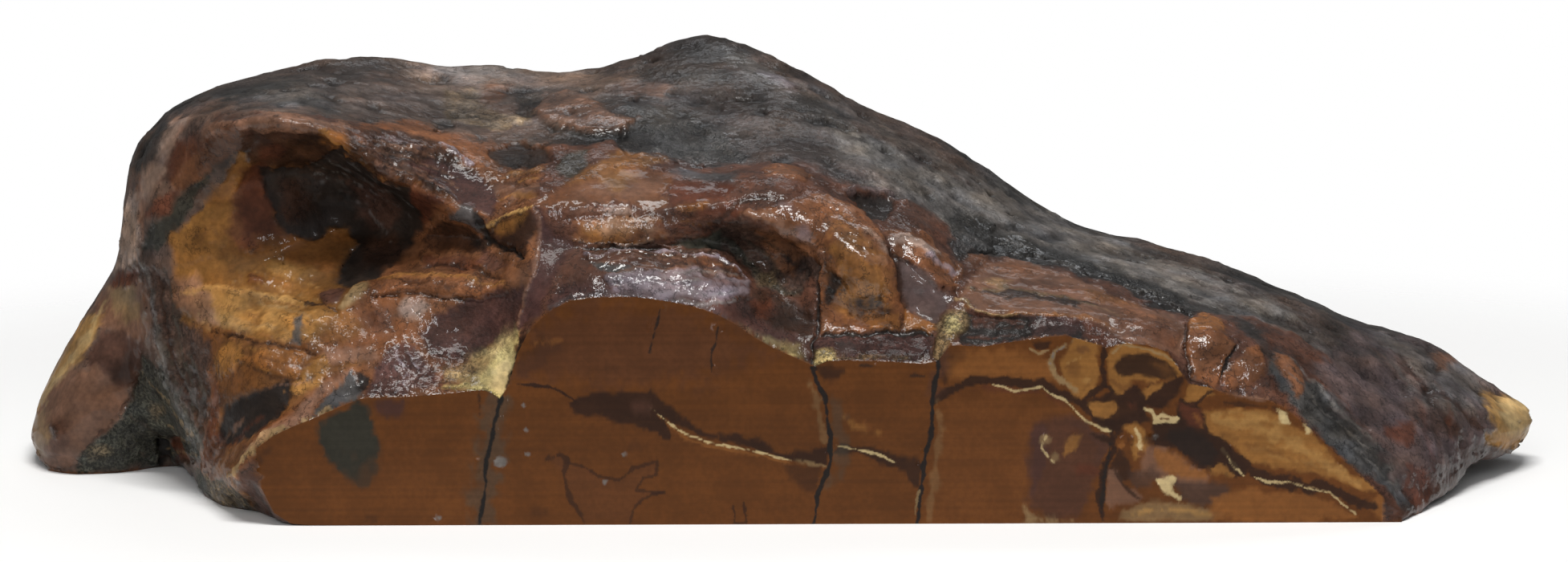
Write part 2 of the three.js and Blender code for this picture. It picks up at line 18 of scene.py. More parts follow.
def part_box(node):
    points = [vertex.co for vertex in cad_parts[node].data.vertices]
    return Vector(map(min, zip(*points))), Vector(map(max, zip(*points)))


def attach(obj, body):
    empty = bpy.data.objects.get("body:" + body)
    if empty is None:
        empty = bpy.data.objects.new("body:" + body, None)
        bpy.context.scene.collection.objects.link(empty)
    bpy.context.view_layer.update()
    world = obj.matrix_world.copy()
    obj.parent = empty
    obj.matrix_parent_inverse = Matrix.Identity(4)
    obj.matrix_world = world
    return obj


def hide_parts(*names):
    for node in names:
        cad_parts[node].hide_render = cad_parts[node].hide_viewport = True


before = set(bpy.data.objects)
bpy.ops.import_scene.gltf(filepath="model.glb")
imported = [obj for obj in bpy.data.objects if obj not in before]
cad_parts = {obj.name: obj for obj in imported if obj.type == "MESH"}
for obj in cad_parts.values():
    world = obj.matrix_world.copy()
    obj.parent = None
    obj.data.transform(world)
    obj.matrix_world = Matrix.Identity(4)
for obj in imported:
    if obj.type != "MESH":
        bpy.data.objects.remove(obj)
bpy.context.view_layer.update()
NODE = "fossil_slice"
low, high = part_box(NODE)
print("packed piece, mm:", [round(1000 * (b - a), 1) for a, b in zip(low, high)])

# %% [markdown]
# ## The eye
# The photograph was taken from a little above and from about half a metre away. The sawn lower edge
# of the polished face is 130 mm long, and it is seen between two known pixels, so it gives the scale.
# With the eye known, any point of the piece can be looked up in the photograph, and that is how
# every form below is put where it belongs. The eye is slid sideways until both ends of the piece
# are seen where the photograph shows them.

# %% Place the eye
PICTURE = (1954, 700)
SAWN_EDGE = {"length": 0.130, "left": 365, "right": 1765, "down": 653}
EYE_DISTANCE = 0.550
EYE_ELEVATION = math.radians(8)
EYE_TURN = math.radians(1)
ENDS_ACROSS = (41, 1909)
MM = 0.001

PIXELS_PER_METRE = (SAWN_EDGE["right"] - SAWN_EDGE["left"]) / SAWN_EDGE["length"]
FOCAL = PIXELS_PER_METRE * EYE_DISTANCE
middle_across, middle_down = PICTURE[0] / 2, PICTURE[1] / 2

look = Vector((
    math.sin(EYE_TURN) * math.cos(EYE_ELEVATION),
    math.cos(EYE_TURN) * math.cos(EYE_ELEVATION),
    -math.sin(EYE_ELEVATION),
))
right = Vector((math.cos(EYE_TURN), -math.sin(EYE_TURN), 0))
up = right.cross(look)
drop = (SAWN_EDGE["down"] - middle_down) / FOCAL
aim_height = drop * EYE_DISTANCE / (up.z + drop * look.z)
eye = Vector((0, low.y, aim_height)) - look * EYE_DISTANCE


def seen_at(points):
    """Pixels across and down at which points are seen in the photograph."""
    away = points - np.array(eye)
    scale = FOCAL / (away @ np.array(look))
    return middle_across + scale * (away @ np.array(right)), middle_down - scale * (away @ np.array(up))


def points_of(mesh):
    flat = np.empty(len(mesh.vertices) * 3)
    mesh.vertices.foreach_get("co", flat)
    return flat.reshape(-1, 3)


packed_points = points_of(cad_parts[NODE].data)
for _ in range(4):
    across, _down = seen_at(packed_points)
    eye.x += (across.min() + across.max() - sum(ENDS_ACROSS)) / 2 / PIXELS_PER_METRE
print("eye, m:", [round(value, 4) for value in eye], "ends seen at", across.min(), across.max())

# %% [markdown]
# The camera stands at the eye, and its lens gives the photograph's scale, so a render can be laid
# over the photograph.

# %% Make the camera
camera = bpy.data.cameras.new("photo_eye")
camera.sensor_width = 36
camera.lens = camera.sensor_width * FOCAL / PICTURE[0]
camera.clip_start = 0.01
camera_object = bpy.data.objects.new("photo_eye", camera)
bpy.context.scene.collection.objects.link(camera_object)
turned = Matrix((right, up, -look)).transposed().to_4x4()
camera_object.matrix_world = Matrix.Translation(eye) @ turned
bpy.context.scene.camera = camera_object
print("lens, mm:", round(camera.lens, 2))

# %% [markdown]
# ## Noise
# Weathered stone is never even. One small function gives smooth, repeatable noise at any size, and
# a second one adds finer and finer layers of it. Because it is worked out from the place alone, the
# piece looks the same on every run.

# %% Smooth repeatable noise
def lattice(i, j, k):
    h = (i * 374761393 ^ j * 668265263 ^ k * 2147483647) & 0xFFFFFFFF
    h = ((h ^ (h >> 13)) * 1274126177) & 0xFFFFFFFF
    return (h ^ (h >> 16)) / 0x7FFFFFFF - 1


def noise(points, size, seed=0):
    """Noise from -1 to 1, with lumps of the given size (one number, or one for each axis)."""
    place = points / np.asarray(size) + seed * 17.31
    cell = np.floor(place).astype(np.int64)
    near = place - cell
    near = near * near * (3 - 2 * near)
    total = np.zeros(len(points))
    for corner in range(8):
        step = np.array([corner & 1, (corner >> 1) & 1, corner >> 2])
        weight = np.prod(np.where(step, near, 1 - near), axis=1)
        total += weight * lattice(*(cell + step).T)
    return total


def layered(points, size, seed=0, layers=3):
    size = np.asarray(size, float)
    parts = [noise(points, size / 2 ** n, seed + n) / 2 ** n for n in range(layers)]
    return sum(parts) / sum(0.5 ** n for n in range(layers))


def rise_over(value, start, end):
    t = np.clip((value - start) / (end - start), 0, 1)
    return t * t * (3 - 2 * t)


# %% [markdown]
# ## Forms drawn on the stone
# Everything that can be pointed at on the stone is one named form: a patch with an outline, a line
# such as a crack or a vein, or an oval spot. Outlines are in pixels of the photograph. A form may
# carry colour, and it may stand out or lie deeper by some tenths of a millimetre. They are laid on
# in the order in which they are written, like coats of paint.

# %% Kinds of form
def listed(text):
    return np.array([[float(n) for n in pair.split(",")] for pair in text.split()])


def patch(outline, colour, soft=3.0, share=1.0, rise=0.0, grain=0.0, wet=None, calm=0.0):
    return dict(kind="patch", at=listed(outline), colour=colour, soft=soft, share=share, rise=rise,
                grain=grain, wet=wet, calm=calm)


def line(route, colour, width=4.0, soft=None, share=1.0, rise=0.0, grain=0.0, taper=0.6, wet=None,
         calm=0.0):
    soft = max(1.0, width / 4) if soft is None else soft
    return dict(kind="line", at=listed(route), colour=colour, width=width, soft=soft, share=share,
                rise=rise, grain=grain, taper=taper, wet=wet, calm=calm)


def spot(middle, reach, colour, soft=2.0, lean=0, share=1.0, rise=0.0, grain=0.0, wet=None, calm=0.0):
    centre = listed(middle)[0]
    size = listed(reach)[0]
    turn = math.radians(lean)
    round_points = [
        (
            centre[0] + size[0] * math.cos(a) * math.cos(turn) - size[1] * math.sin(a) * math.sin(turn),
            centre[1] + size[0] * math.cos(a) * math.sin(turn) + size[1] * math.sin(a) * math.cos(turn),
        )
        for a in np.linspace(0, 2 * math.pi, 14, endpoint=False)
    ]
    return dict(kind="patch", at=np.array(round_points), colour=colour, soft=soft, share=share,
                rise=rise, grain=grain, wet=wet, calm=calm)


def streaks(first, last, count, colours, width=2.5, share=0.5, rise=0.0, seed=1):
    """Fine lines that fill the room between two routes, each a little out of true."""
    start, end = listed(first), listed(last)
    drawn = []
    for n in range(count):
        slip = [lattice(n, seed, k) for k in range(4)]
        route = start + (end - start) * (n + 0.5 + 0.45 * slip[0]) / count
        spare = slice(None) if slip[1] < -0.2 else slice(1, None) if slip[1] < 0.4 else slice(0, -1)
        route = route[spare] + np.outer(np.linspace(-1, 1, len(route[spare])), (4 * slip[2], 4 * slip[3]))
        text = " ".join(f"{x:.0f},{y:.0f}" for x, y in route)
        drawn.append(line(text, colours[n % len(colours)], width * (1 + 0.4 * slip[3]), share=share,
                          rise=rise * slip[1], taper=0.9))
    return drawn


def inside_by(across, down, outline):
    """Pixels from the outline, positive inside it."""
    nearest = np.full(len(across), 1e9)
    inside = np.zeros(len(across), bool)
    for (x0, y0), (x1, y1) in zip(outline, np.roll(outline, -1, axis=0)):
        dx, dy = x1 - x0, y1 - y0
        t = np.clip(((across - x0) * dx + (down - y0) * dy) / (dx * dx + dy * dy + 1e-9), 0, 1)
        nearest = np.minimum(nearest, np.hypot(across - x0 - t * dx, down - y0 - t * dy))
        if y0 != y1:
            crossing = (y0 > down) != (y1 > down)
            inside ^= crossing & (across < x0 + (down - y0) * dx / dy)
    return np.where(inside, nearest, -nearest)


def beside(across, down, route):
    """Pixels from a route, and the share of its length at the nearest place."""
    nearest = np.full(len(across), 1e9)
    share = np.zeros(len(across))
    lengths = np.hypot(*np.diff(route, axis=0).T)
    run = 0.0
    for (x0, y0), (x1, y1), length in zip(route, route[1:], lengths):
        dx, dy = x1 - x0, y1 - y0
        t = np.clip(((across - x0) * dx + (down - y0) * dy) / (length * length), 0, 1)
        away = np.hypot(across - x0 - t * dx, down - y0 - t * dy)
        closer = away < nearest
        nearest = np.where(closer, away, nearest)
        share = np.where(closer, (run + t * length) / lengths.sum(), share)
        run += length
    return nearest, share


def distance_to(form, across, down):
    """Pixels from the edge of a form, positive inside, for points near it; far points get -99."""
    margin = form.get("width", 0) + 3 * form["soft"] + 30
    box_low, box_high = form["at"].min(0) - margin, form["at"].max(0) + margin
    close = (across > box_low[0]) & (across < box_high[0]) & (down > box_low[1]) & (down < box_high[1])
    away = np.full(len(across), -99.0)
    if not close.any():
        return away
    if form["kind"] == "patch":
        away[close] = inside_by(across[close], down[close], form["at"])
    else:
        off, share = beside(across[close], down[close], form["at"])
        thin = 1 - form["taper"] * (2 * share - 1) ** 4
        away[close] = form["width"] / 2 * thin - off
    return away


# %% [markdown]
# ## The colours of the stone
# The names are those a collector would use. Most colours are the stone's own, without gloss or shade,
# because light and lacquer are added by the lamps and the material. Lilac is a painted highlight, and
# the ash grey and the pitch black also serve as painted sheen and painted shade.

# %% Palette
PALETTE = {
    "caramel": (0.094, 0.031, 0.006),
    "light_caramel": (0.128, 0.044, 0.010),
    "orange": (0.200, 0.076, 0.018),
    "umber": (0.025, 0.010, 0.005),
    "bark": (0.055, 0.030, 0.021),
    "plum": (0.050, 0.022, 0.019),
    # Pitch black of cracks and pits, also laid on as painted shade in the deepest gaps.
    "pitch_and_shade": (0.011, 0.009, 0.008),
    "bottle": (0.021, 0.022, 0.016),
    "oxblood": (0.075, 0.022, 0.010),
    "sienna": (0.130, 0.050, 0.020),
    "ochre": (0.125, 0.050, 0.013),
    "gold": (0.225, 0.100, 0.024),
    "pale_gold": (0.340, 0.185, 0.058),
    "tan": (0.230, 0.150, 0.070),
    "cream": (0.500, 0.380, 0.190),
    "sulphur": (0.520, 0.420, 0.180),
    "rose": (0.165, 0.084, 0.052),
    "mahogany": (0.062, 0.026, 0.016),
    "chestnut": (0.066, 0.026, 0.014),
    "honey": (0.160, 0.066, 0.015),
    "slate": (0.046, 0.046, 0.046),
    "moss": (0.048, 0.048, 0.036),
    "mauve": (0.075, 0.052, 0.050),
    # Lilac is a painted highlight, laid where the wet lacquer glints.
    "lilac_highlight": (0.210, 0.170, 0.188),
    "blush": (0.300, 0.215, 0.170),
    "rind": (0.040, 0.037, 0.035),
    "rind_brown": (0.075, 0.046, 0.034),
    "rind_dark": (0.018, 0.017, 0.016),
    # Ash grey of the stone, also laid on as a painted sheen on the rind and the right lobe.
    "ash_and_sheen": (0.150, 0.138, 0.128),
}
print(len(PALETTE), "colours")

# %% [markdown]
# ## What the polished face shows
# The cut goes through caramel-brown stone. Dark veins with a cream core wander across it from the
# left, thin cracks run from top to bottom, and towards the right end it breaks up into gold, cream
# and almost black pieces.

# %% Forms of the polished face
VEINS = [
    patch("306,574 337,560 323,585 301,591", "umber", 5, 0.6),
    patch("394,525 446,500 465,503 463,530 471,552 471,585 460,604 446,604 411,577", "bottle", 6, 0.95),
    patch("463,497 501,500 501,514 482,522 465,517", "plum", 5, 0.8),
    line("597,486 596,517", "umber", 2, share=0.7),
    patch("662,408 676,411 670,429 647,440 644,467 655,470 700,430", "umber", 5, 0.5),
    patch("640,470 690,392 740,374 860,385 960,432 900,470 760,480", "chestnut", 30, 0.45),
    patch("1180,500 1280,490 1290,640 1150,650", "light_caramel", 20, 0.5),
    patch("380,600 600,560 600,655 380,655", "light_caramel", 30, 0.3),
    line("641,478 685,483 717,499", "umber", 5, rise=-0.04),
    patch("709,502 726,493 741,487 764,490 782,487 811,487 843,514 855,520 864,531 879,537 905,540 "
          "917,537 926,546 946,546 961,558 981,567 1005,561 1034,558 1028,581 987,575 937,558 882,546 "
          "858,537 829,520 838,549 826,546 817,537 782,528 764,525 753,520 717,514", "umber", 3, 0.93),
    patch("975,581 1022,581 1019,611 1005,613 984,602", "umber", 6, 0.6),
    line("816,514 843,538 862,550 956,570 988,580", "orange", 5, 2, 0.6),
    line("811,508 843,534 860,544 900,555 944,563 984,575", "cream", 2.6, 0.9, 0.85, taper=0.8),
    line("984,575 1002,577 1029,582", "tan", 3.5, 1.5, 0.6),
    patch("785,496 803,494 814,505 808,514 792,512", "mahogany", 4, 0.6),
    line("824,382 809,439", "pitch_and_shade", 2.4, share=0.85, rise=-0.05),
    line("895,405 885,449 886,464", "pitch_and_shade", 3.0, share=0.85, rise=-0.05),
    patch("682,572 700,567 712,578 729,581 747,593 773,599 791,584 820,575 819,593 802,597 794,611 "
          "829,613 802,624 791,634 785,652 729,652 717,634 709,619 703,593", "mahogany", 3, 0.22),
    line("682,572 700,567 706,572 703,593 709,619 729,652", "umber", 6, share=0.75),
    line("709,578 729,581 747,593 773,599 791,584 820,575 819,593 802,597 794,611 829,615", "umber", 4,
         share=0.7),
    line("829,613 802,622 791,634 785,652", "umber", 4, share=0.7),
    line("915,631 917,652 931,652 927,625", "umber", 3, share=0.8),
    patch("1047,549 1036,549 1056,555 1092,559 1137,571 1148,569 1148,605 1140,605 1134,600 1132,588 "
          "1120,583 1073,566 1039,563", "umber", 3, 0.9),
    line("1041,555 1097,567 1120,577", "cream", 2.6, 0.9, 0.8),
    patch("1061,535 1078,524 1087,532 1103,535 1078,539", "light_caramel", 3, 0.9),
    patch("1188,462 1210,440 1261,434 1277,448 1308,448 1317,476 1227,473 1199,479", "orange", 8, 0.5),
    patch("1174,437 1204,437 1188,459 1179,484 1170,476", "umber", 5, 0.7),
    patch("1178,440 1215,432 1300,440 1312,470 1210,470 1180,480", "orange", 12, 0.35),
    line("1162,502 1181,488 1209,476 1243,474 1301,480 1342,501 1386,532", "umber", 11, 2.5, 0.95,
         taper=0.15),
    line("1196,492 1230,484 1300,488 1330,506", "oxblood", 6, 3, 0.6),
    line("1238,480 1252,482 1263,487 1300,482 1311,491", "cream", 2.2, 0.9, 0.75),
    line("1311,491 1328,499 1353,524 1370,532 1387,536", "cream", 3.4, 1.2, 0.8),
    spot("1380,535", "8,4", "cream"),
    patch("1276,500 1330,505 1350,530 1300,524 1284,545 1280,640 1262,650", "light_caramel", 10, 0.5),
    patch("1286,529 1303,522 1340,518 1372,540 1376,570 1345,640 1306,646 1284,630 1281,577", "chestnut", 7,
          0.9),
    patch("1284,534 1300,528 1306,556 1298,600 1286,620", "plum", 5, 0.6),
    patch("1352,500 1369,495 1390,486 1417,480 1430,500 1425,515 1436,524 1404,528 1390,540 1369,529",
          "umber", 3, 0.9),
    patch("1394,484 1416,482 1424,500 1406,512", "oxblood", 5, 0.8),
    patch("1424,560 1450,556 1506,590 1500,612 1440,600 1418,590", "rose", 6, 0.75),
    spot("1302,548", "8,6", "tan", 3, 0, 0.6, grain=0.5),
    spot("1312,570", "5,7", "tan", 3, 0, 0.6, grain=0.5),
    patch("1324,566 1328,543 1348,541 1339,560", "gold", 4, 0.75),
    line("1303,543 1297,557 1317,581", "cream", 3.5, 1.5, 0.75),
    patch("1277,630 1285,641 1337,649 1277,651", "tan", 3, 0.7),
    patch("1323,448 1340,421 1371,427 1367,443 1371,467 1363,487 1348,500 1340,494 1323,467", "gold", 4,
          0.95),
    line("1338,425 1316,437 1309,452 1315,468 1342,487", "tan", 6, 1.8, 0.85),
    line("1330,430 1314,440 1309,454", "ash_and_sheen", 3, 1.2, 0.7),
    spot("1340,462", "9,12", "ochre", 5, 0, 0.6),
    spot("1352,436", "8,5", "mahogany", 4, 0, 0.5),
    patch("1285,425 1310,425 1306,435 1291,435", "umber", 2, 0.9),
    line("1281,433 1294,441 1306,437", "tan", 3, share=0.8),
    patch("1379,445 1398,470 1413,475 1398,492 1385,490 1381,470", "gold", 3, 0.9),
    patch("1394,559 1409,578 1409,600 1394,600 1379,590", "umber", 3, 0.85),
    patch("1417,492 1432,478 1451,477 1476,469 1472,490 1447,510 1423,506", "umber", 3, 0.95),
    patch("1417,492 1432,481 1451,477 1444,487 1428,496", "gold", 2, 0.95),
    patch("1384,437 1398,425 1432,433 1451,440 1472,452 1478,465 1436,477 1394,473 1379,455", "gold", 3,
          0.95),
    patch("1392,450 1406,442 1430,441 1456,450 1470,464 1456,474 1413,468 1396,470 1384,460", "umber", 3,
          0.95, -0.05),
    patch("1430,448 1456,452 1466,464 1450,470", "ochre", 5, 0.45),
    line("1386,441 1400,430 1432,436 1451,443 1467,452 1476,465", "tan", 3, 1.0, 0.8),
    line("1384,474 1396,486 1412,476 1440,480 1462,470", "ochre", 5, 2, 0.7),
    line("1375,433 1375,481 1344,504", "umber", 7, 1.5, 0.95),
    line("1375,481 1386,488 1379,498 1363,506", "umber", 6, share=0.95),
    patch("1425,509 1390,502 1402,490 1417,479 1425,494 1425,529 1402,529 1392,540 1375,534 1359,523 "
          "1367,517 1390,523", "umber", 3, 0.95),
    patch("1356,502 1390,500 1392,515 1379,521 1363,517", "gold", 3, 0.95),
    patch("1331,525 1356,532 1382,544 1382,559 1371,578 1363,575 1367,559 1352,536", "mahogany", 3, 0.9),
    patch("1338,584 1346,576 1371,586 1373,594 1342,592", "oxblood", 3, 0.85),
    patch("1436,530 1466,518 1470,496 1490,500 1505,514 1508,536 1524,541 1541,564 1556,590 1536,594 "
          "1520,590 1489,581 1472,564 1458,556 1436,556", "umber", 3, 0.97),
    patch("1452,536 1480,530 1504,542 1520,560 1510,580 1484,572 1462,556", "pitch_and_shade", 5, 0.6),
    patch("1470,500 1490,503 1502,516 1498,532 1482,530 1474,516", "oxblood", 4, 0.85),
    line("1484,508 1494,520 1500,534", "orange", 4, 2, 0.5),
    patch("1398,532 1413,529 1425,536 1428,555 1426,569 1413,575 1409,563 1411,544", "gold", 3, 0.95),
    line("1413,536 1419,546 1420,560", "cream", 6, 2, 0.85),
    line("1425,509 1436,513 1440,521 1447,517 1465,521 1463,525 1438,525", "cream", 6, 1.5, 0.9),
    spot("1397,556", "5,4", "orange", 2, share=0.9),
    patch("1379,586 1390,588 1402,609 1432,622 1379,636", "rose", 5, 0.75),
    patch("1405,592 1432,582 1451,594 1425,613 1409,601", "bark", 5, 0.7),
    line("1390,590 1398,604 1410,616 1424,624", "umber", 4, 1.5, 0.8),
    patch("1438,559 1459,563 1470,569 1490,586 1503,582 1503,597 1470,597 1444,585", "orange", 3, 0.85),
    patch("1461,601 1509,598 1528,604 1530,618 1499,630 1470,622", "bark", 5, 0.85),
    patch("1438,597 1461,594 1465,599 1457,607 1470,620 1469,626 1451,615 1440,603", "cream", 2, 0.95),
    patch("1507,582 1520,574 1541,594 1528,590 1511,590", "gold", 3, 0.9),
    line("1523,559 1548,592", "cream", 4, 1.5, 0.8),
    patch("1509,619 1560,605 1560,647 1528,640 1513,630", "orange", 4, 0.8),
    patch("1392,650 1398,636 1432,626 1499,632 1536,645 1470,650", "tan", 5, 0.6),
    line("1400,644 1440,636 1490,638 1530,646", "pale_gold", 5, 3, 0.6),
    patch("1483,476 1512,483 1516,489 1496,500 1477,500", "gold", 3, 0.9),
    patch("1533,491 1561,487 1579,494 1570,500", "rose", 3, 0.9),
    patch("1501,511 1574,509 1596,517 1613,530 1635,541 1665,578 1689,595 1709,600 1715,613 1696,613 "
          "1668,600 1635,589 1561,576 1531,550 1507,537", "gold", 4, 0.95),
    line("1520,522 1560,530 1600,545 1690,604", "pale_gold", 14, 6, 0.6),
    line("1512,516 1560,515 1600,530", "pale_gold", 6, 3, 0.6),
    line("1507,530 1550,552 1650,585", "ochre", 5, 3, 0.6),
]
GOLD_GRAIN = (
    streaks("1508,514 1560,512 1610,514", "1590,584 1640,592 1700,604", 13,
            ("ochre", "pale_gold", "honey"), 3, 0.28, seed=3)
    + streaks("1326,440 1350,430 1366,440", "1330,480 1348,492 1362,480", 5, ("ochre", "pale_gold"), 3, 0.5,
            seed=4)
)
LOWER_VEINS = [
    patch("1504,632 1553,609 1592,613 1624,613 1657,626 1689,645 1600,651 1512,649", "orange", 5, 0.75),
    patch("1700,630 1722,613 1733,619 1748,639 1722,648", "orange", 4, 0.9),
    line("1507,543 1559,587 1592,600 1657,610 1712,634", "umber", 15, 2.5, 0.93),
    line("1561,593 1579,600 1605,600 1657,615 1689,641", "cream", 2.6, 0.9, 0.75),
    line("1590,600 1624,603 1650,611 1672,624", "tan", 2, 0.8, 0.7),
    patch("1590,509 1603,515 1609,530 1596,527", "cream", 2, 0.9),
    patch("1626,528 1635,537 1629,541", "cream", 1.5, 0.85),
    line("1473,500 1488,507 1505,491 1516,485", "umber", 5, share=0.9),
    line("1528,500 1560,503 1590,508", "umber", 5, 2, 0.7),
    line("1384,540 1386,562 1377,580 1369,620 1373,650", "umber", 9, 1.5, 0.95, -0.05),
    line("1384,548 1374,604 1371,640", "pitch_and_shade", 4, 1.2, 0.8, -0.05),
    line("1358,538 1372,546 1384,548 1396,540", "umber", 6, 2, 0.85),
    spot("1408,552", "6,5", "umber", 2, 0, 0.7),
    spot("1432,548", "8,7", "umber", 3, 0, 0.6, grain=0.8),
    spot("1422,568", "6,5", "oxblood", 3, 0, 0.7),
]

CRACKS = [
    line("619,500 597,652", "moss", 30, 12, 0.45, taper=0.2),
    line("625,492 619,510 608,566 603,621 597,653", "pitch_and_shade", 5, 1.2, 1.0, -0.12, taper=0.1),
    line("1008,476 1018,500 1026,548", "tan", 9, 4, 0.3),
    line("1040,500 1050,560 1044,590 1030,610", "moss", 16, 8, 0.35),
    line("1168,500 1172,540 1158,650", "tan", 8, 4, 0.25),
    line("1180,430 1168,470 1160,500", "mahogany", 14, 6, 0.5),
    patch("1050,520 1070,530 1096,538 1078,541 1060,534", "gold", 3, 0.5),
    line("1016,459 1011,458 1028,496 1034,546 1033,575 1017,625 1014,653", "pitch_and_shade", 5, 1.2, 0.97, -0.12,
         taper=0.1),
    line("1167,436 1168,462 1162,490 1160,541 1155,560 1144,653", "pitch_and_shade", 6, 1.2, 0.97, -0.12, taper=0.1),
    line("1147,611 1141,639", "tan", 3, share=0.7),
    patch("1016,459 1031,454 1056,456 1053,465 1036,476 1025,473", "umber", 4, 0.8),
    line("1067,456 1089,457", "pitch_and_shade", 3, share=0.7),
    line("1133,468 1151,469", "pitch_and_shade", 3, share=0.7),
    line("667,428 700,423", "orange", 4, 3, 0.5),
    spot("670,637", "12,9", "umber", 6, share=0.4),
    spot("464,648", "8,6", "umber", 4, share=0.4),
    spot("761,458", "9,7", "umber", 5, share=0.3),
    spot("791,558", "10,8", "umber", 5, share=0.3),
    spot("623,577", "8,7", "ash_and_sheen", 2, share=0.9, rise=-0.08, grain=0.5),
    spot("546,645", "5,3", "ash_and_sheen", 1.5, share=0.8),
]
SPECKS = [spot(middle, "3,3", "ash_and_sheen", 1, share=0.75)
          for middle in ("655,536", "656,566", "651,506", "779,566", "756,601", "1438,544")]
FACE_FORMS = VEINS + GOLD_GRAIN + LOWER_VEINS + CRACKS + SPECKS
print(len(FACE_FORMS), "forms on the polished face")

# %% [markdown]
# ## The left lobe and the outer corner
# A weathered lobe runs out to the left. Its upper part is rose and gold, its foot carries mossy
# crust, and a dark grey scar parts it from the hollow.

# %% Forms of the left lobe
LEFT_LOBE = [
    patch("20,640 20,480 130,230 160,170 260,120 300,200 250,420 270,600 340,660 200,640", "rind_brown",
          10),
    patch("202,344 217,382 255,410 286,416 267,454 267,516 255,547 205,463 178,380 176,330", "bark", 8,
          0.95, -0.3, 0.4),
    patch("217,147 246,144 230,157 192,241 182,300 171,229 176,204", "rose", 4, 0.95, 0.1, 0, 0.3, 0.8),
    patch("214,150 240,146 226,160 188,250 176,250 182,210", "blush", 6, 0.65, calm=0.8),
    patch("160,205 170,186 205,147 217,160 199,191 177,215", "rind_dark", 5, 0.9),
    patch("217,201 249,166 296,154 305,172 274,213 236,232 217,235", "sienna", 5, 0.9, calm=0.6),
    patch("206,200 226,176 250,162 262,170 214,222", "oxblood", 6, 0.7, calm=0.6),
    patch("205,241 227,235 221,266 180,276", "oxblood", 4, 0.8),
    patch("305,182 249,241 217,304 199,316 180,310 196,279 217,269 224,244", "bottle", 4, 0.85, -0.15),
    patch("167,232 177,254 177,322 142,341 147,297", "blush", 5, 0.8, 0.1),
    patch("133,360 171,344 183,376 186,410 180,426 146,413 108,410 121,376", "rose", 4, 0.95, 0.15, 0, 0.3,
          0.9),
    patch("138,362 168,350 176,400 150,396", "tan", 9, 0.75, 0, 0, 0.3, 0.9),
    patch("139,354 155,338 174,335 171,354 146,360", "oxblood", 4, 0.9, -0.25),
    patch("134,396 97,458 48,512 56,480 98,412 116,392", "pale_gold", 5, 0.9, 0.2, 0, 0.3, 0.9),
    patch("108,444 124,416 155,412 183,431 184,456 164,484 150,490 112,480", "mahogany", 6, 0.8, 0.0, 0.0,
          0.2, 1.0),
    patch("122,452 170,450 164,478 130,476", "umber", 8, 0.6, calm=1.0),
    patch("58,494 92,463 121,463 149,485 164,485 155,513 92,579 64,585 41,547", "rose", 5, 0.95, 0.2, 0.0,
          0.3, 1.0),
    line("48,512 96,446 136,376", "cream", 9, 3, 0.4, 0.1, calm=1.0),
    patch("60,530 84,520 90,550 66,570", "mahogany", 6, 0.7, calm=1.0),
    patch("44,520 58,512 62,544 52,566 42,552", "tan", 6, 0.7, calm=1.0),
    spot("100,440", "22,9", "umber", 8, 65, 0.35),
    spot("71,538", "6,10", "umber", 3, share=0.8),
    line("183,438 174,469 158,501 108,560", "umber", 5, 2, 0.8, -0.3),
    patch("183,438 205,460 249,544 258,572 92,589 100,565 136,535 162,501 178,469", "moss", 4, 0.95, -0.1,
          0.8),
    spot("199,513", "10,8", "tan", 5, share=0.45, grain=0.6),
    spot("124,560", "14,7", "tan", 5, share=0.4, grain=0.6),
    line("177,313 208,476 258,569", "ash_and_sheen", 6, 2, 0.5, 0.35),
    line("192,330 208,430 225,480 250,530", "umber", 6, 3, 0.7, -0.3),
    line("230,430 245,470 250,520", "ash_and_sheen", 4, 2, 0.3, 0.2),
    patch("196,544 210,548 217,576 200,580", "pitch_and_shade", 3, 1.0, -0.8),
    patch("217,547 228,545 242,572 222,576", "oxblood", 3, 0.9, -0.2),
    patch("245,585 290,588 345,652 300,650 250,625", "moss", 4, 0.95, 0.0, 0.8),
    patch("258,592 285,597 322,634 300,642 262,624", "tan", 6, 0.5, 0.0, 0.7),
    line("256,588 286,594 308,610 326,636", "orange", 5, 2, 0.6, 0.1),
    line("262,610 292,620 312,640", "umber", 4, 2, 0.6, -0.1),
]
